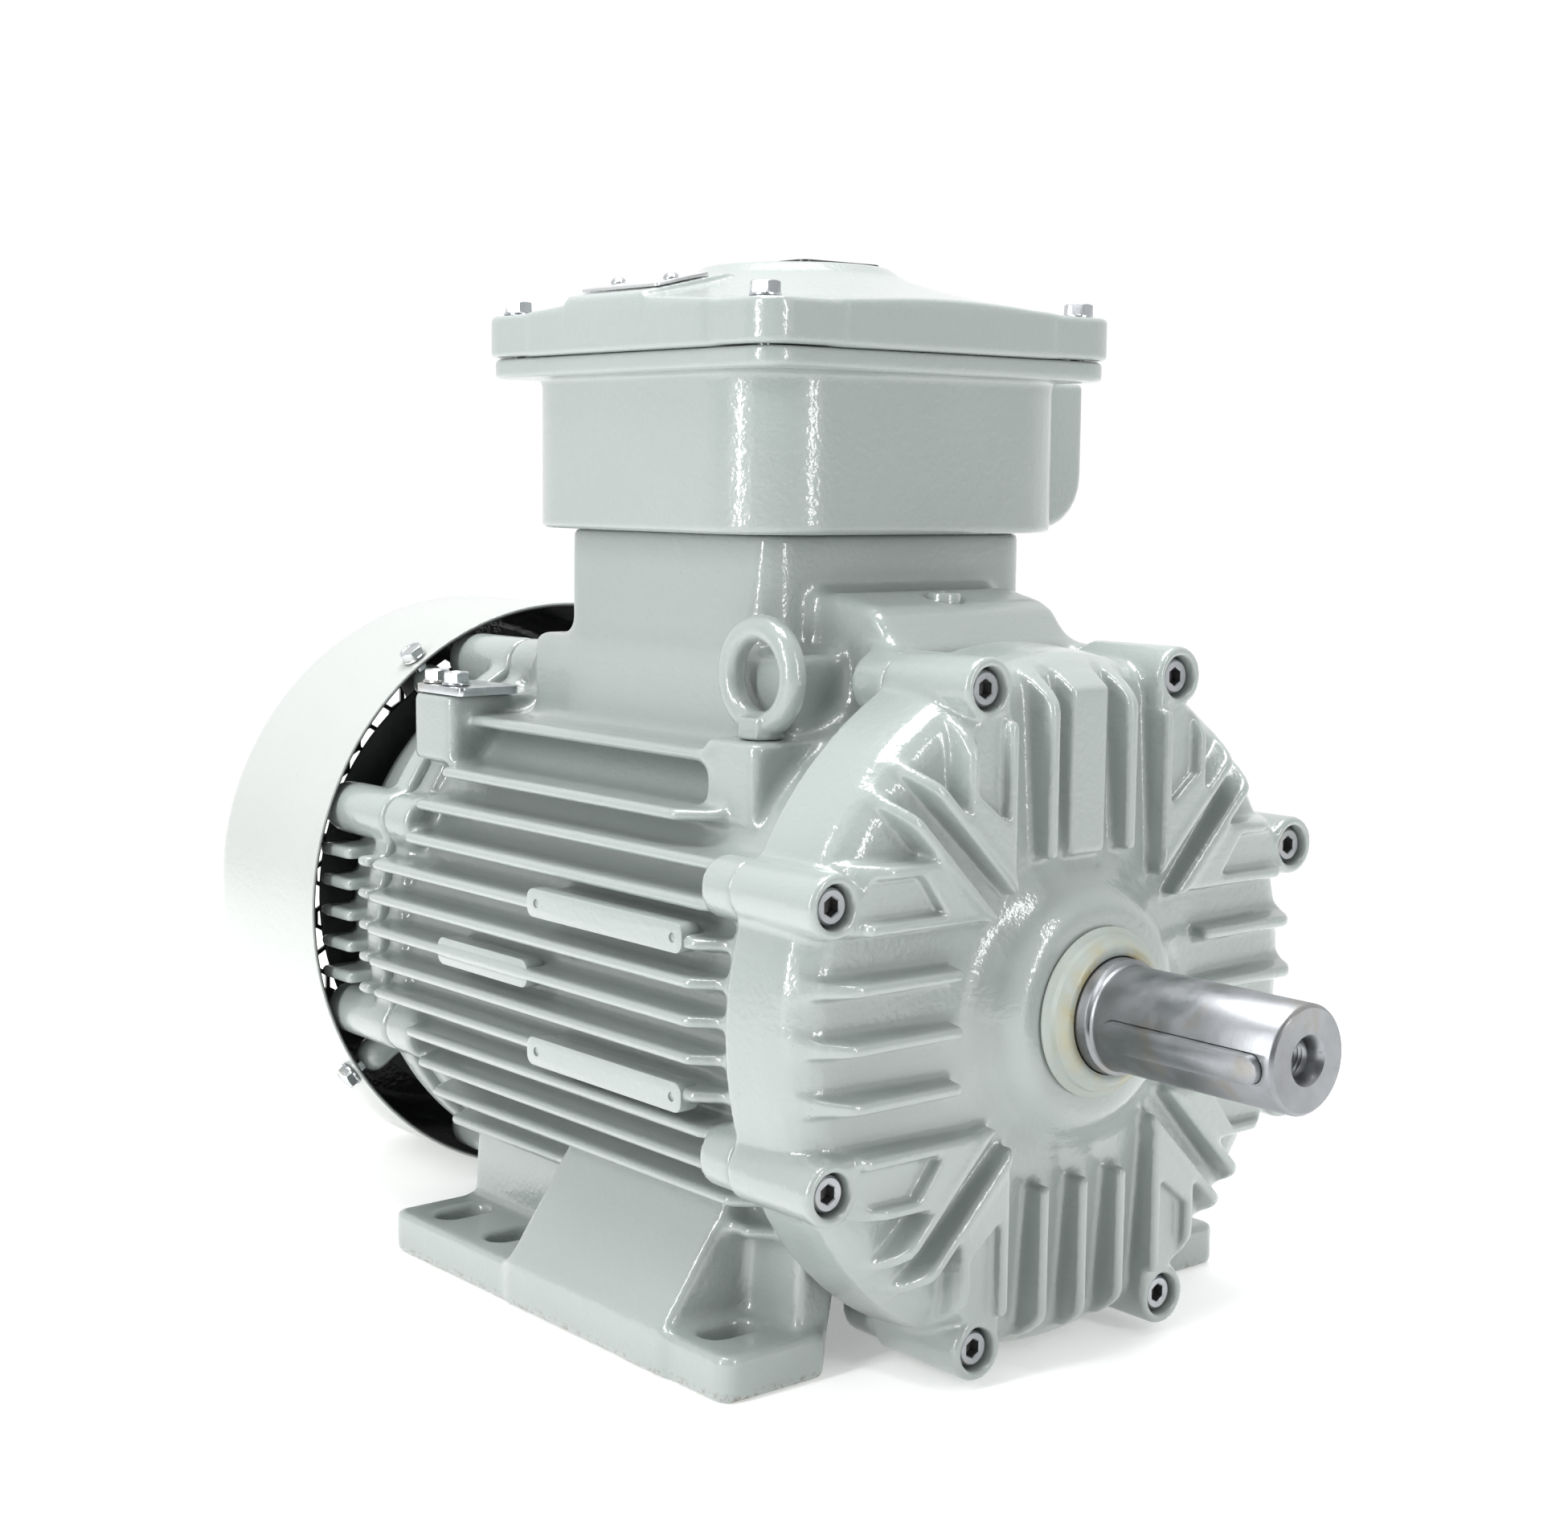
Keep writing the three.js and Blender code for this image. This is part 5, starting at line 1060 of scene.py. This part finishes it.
def build_fan():
    """A hub, a dished disc and seven tapered blades."""
    hub = hollow_lathe("hub", "x", [
        (-425, 14), (-425, 22), (-423, 24), (-404, 25), (-396, 27), (-391, 32), (-389, 60), (-387.5, 104),
        (-386.8, 107.4), (-385.6, 107.4), (-385.2, 106.6), (-385.2, 20), (-385.2, 14),
    ], sides=96)
    rings, blades = [], []
    for along, half, near, far in [
        (-425, 1.1, 22, 104), (-423.5, 1.5, 22, 107.5), (-400, 1.7, 22, 108), (-387, 2.2, 20, 106),
    ]:
        rings.append([
            (along, near, -half), (along, far - 1.5, -half), (along, far, -half * 0.5),
            (along, far, half * 0.5), (along, far - 1.5, half), (along, near, half),
        ])
    for i in range(FAN_BLADES):
        angle = i * 2 * math.pi / FAN_BLADES + 0.2
        c, s = math.cos(angle), math.sin(angle)
        turn = lambda p: place([p[0], p[1] * c - p[2] * s, p[1] * s + p[2] * c])
        blades.append(outward("blade", *loft(rings, turn)))
    shown("fan", united(hub, *blades), "fan_plastic", body="rotor")


def bent(radius, angles):
    x, out = COWL_BEND
    return [(x + radius * math.cos(t), out + radius * math.sin(t)) for t in angles]


def build_cowl():
    """A deep-drawn sheet drum with a honeycomb of air holes in its end."""
    bend = [math.pi / 2 + i * math.pi / 16 for i in range(9)]
    profile = [(-350.2, 131), (-350, 130.8), (-350, 129.6), (-350.2, 129.4), (-390, 129.4)]
    profile += bent(COWL_BEND_RADIUS - COWL_SHEET, bend) + bent(COWL_BEND_RADIUS, bend[::-1]) + [(-390, 131)]
    drum = hollow_lathe("drum", "x", profile, sides=128)
    ends = [circle(along, 3.3, 24) for along in (120, 140)]
    holes = [outward("hole", *loft(ends, outwards(angle, COWL_SCREW_X))) for angle in COWL_ANGLES]
    drum = carve(drum, *holes)
    curve = bpy.data.curves.new("grille", "CURVE")
    curve.dimensions, curve.fill_mode, curve.extrude = "2D", "BOTH", 0.00078
    loops = [[(p, q) for _, p, q in circle(0, 117.6, 96)]]
    pitch, across, reach = 12.0, 10.0, 94
    for row in range(-10, 11):
        for column in range(-10, 11):
            y, z = (column + (row % 2) / 2) * pitch, row * pitch * math.sqrt(3) / 2
            if math.hypot(y, z) < reach:
                cell = circle(0, across / math.sqrt(3), 6, math.pi / 6)
                loops.append([(y + p, z + q) for _, p, q in cell])
    for loop in loops:
        spline = curve.splines.new("POLY")
        spline.points.add(len(loop) - 1)
        spline.points.foreach_set("co", np.array([(p * 0.001, q * 0.001, 0, 1) for p, q in loop]).ravel())
        spline.use_cyclic_u = True
    sheet = applied(linked("helper", curve))
    sheet.transform(Matrix(((0, 0, 1, 0), (1, 0, 0, 0), (0, 1, 0, 0), (0, 0, 0, 1))))
    sheet.transform(Matrix.Translation(place([-444.2, 0, 0])))
    shown("fan_cowl", united(drum, sheet), "cowl_paint")


build_fan()
build_cowl()

# ---------------- CAD pieces that stay, in better finishes

for node in NODES.values():
    if node.hide_render:
        continue
    for slot in node.material_slots:
        key = slot.material.name.split(".")[0] if slot.material else ""
        if key in LOOKS:
            slot.material = LOOKS[key]

# ---------------- floor, light and camera


def floor_look():
    look = Look("studio_floor")
    cloud = look.noise(1.5, 3.0)
    colour = look.mix(cloud, shade(0.86, 0.865, 0.86), shade(0.90, 0.90, 0.895))
    look.bump((look.noise(90.0, 4.0), 0.05))
    look.finish(colour, look.spread(look.noise(6.0), 0.3, 0.7, 0.5, 0.65), Emission_Strength=0.36)
    look.join(colour, look.shader.inputs["Emission Color"])
    return look.material


floor_mesh = bpy.data.meshes.new("floor")
floor_mesh.from_pydata([(-9, -9, 0), (9, -9, 0), (9, 9, 0), (-9, 9, 0)], [], [(0, 1, 2, 3)])
floor_mesh.materials.append(floor_look())
floor = linked("floor", floor_mesh)

world = bpy.data.worlds.new("studio")
world.use_nodes = True
sky = world.node_tree
behind = sky.nodes.new("ShaderNodeVectorMath")
behind.operation = "DOT_PRODUCT"
behind.inputs[1].default_value = (-0.74, 0.64, 0.20)
sky.links.new(sky.nodes.new("ShaderNodeTexCoord").outputs["Generated"], behind.inputs[0])
share = sky.nodes.new("ShaderNodeMapRange")
share.interpolation_type = "SMOOTHSTEP"
for key, value in (("From Min", -0.45), ("From Max", 0.35), ("To Min", 0.22), ("To Max", 1.03)):
    share.inputs[key].default_value = value
sky.links.new(behind.outputs["Value"], share.inputs["Value"])
sky.links.new(share.outputs[0], sky.nodes["Background"].inputs["Strength"])
sky.nodes["Background"].inputs["Color"].default_value = (1.0, 1.0, 1.0, 1.0)
bpy.context.scene.world = world
bpy.context.scene.view_settings.view_transform = "Standard"


def softbox(name, where, aim, width, height, watts):
    light = bpy.data.lights.new(name, "AREA")
    light.shape, light.size, light.size_y, light.energy = "RECTANGLE", width, height, watts
    made = linked(name, light)
    made.location = where
    made.rotation_euler = (Vector(aim) - Vector(where)).to_track_quat("-Z", "Y").to_euler()


softbox("key", (0.1, -1.6, 0.95), (0, 0, 0.75), 0.2, 1.5, 24)
softbox("top", (-0.1, -0.1, 1.8), (0, 0, 0.1), 1.2, 0.9, 36)
softbox("fill", (1.75, 0.2, 0.9), (0.1, 0, 0.7), 0.2, 1.4, 14)

YAW, PITCH, ROLL = (math.radians(angle) for angle in (140.335, -6.7, 0.588))
forward = Vector((math.cos(YAW) * math.cos(PITCH), math.sin(YAW) * math.cos(PITCH), math.sin(PITCH)))
right = forward.cross(Vector((0, 0, 1))).normalized()
up = right.cross(forward)
tilted_right = right * math.cos(ROLL) + up * math.sin(ROLL)
tilted_up = up * math.cos(ROLL) - right * math.sin(ROLL)
camera = linked("camera", bpy.data.cameras.new("camera"))
camera.data.lens, camera.data.sensor_width = 55.80, 36.0
camera.data.clip_start, camera.data.clip_end = 0.01, 60.0
turned_axes = Matrix((tilted_right, tilted_up, -forward)).transposed().to_4x4()
camera.matrix_world = Matrix.Translation((0.75394, -0.63254, 0.31998)) @ turned_axes
bpy.context.scene.camera = camera
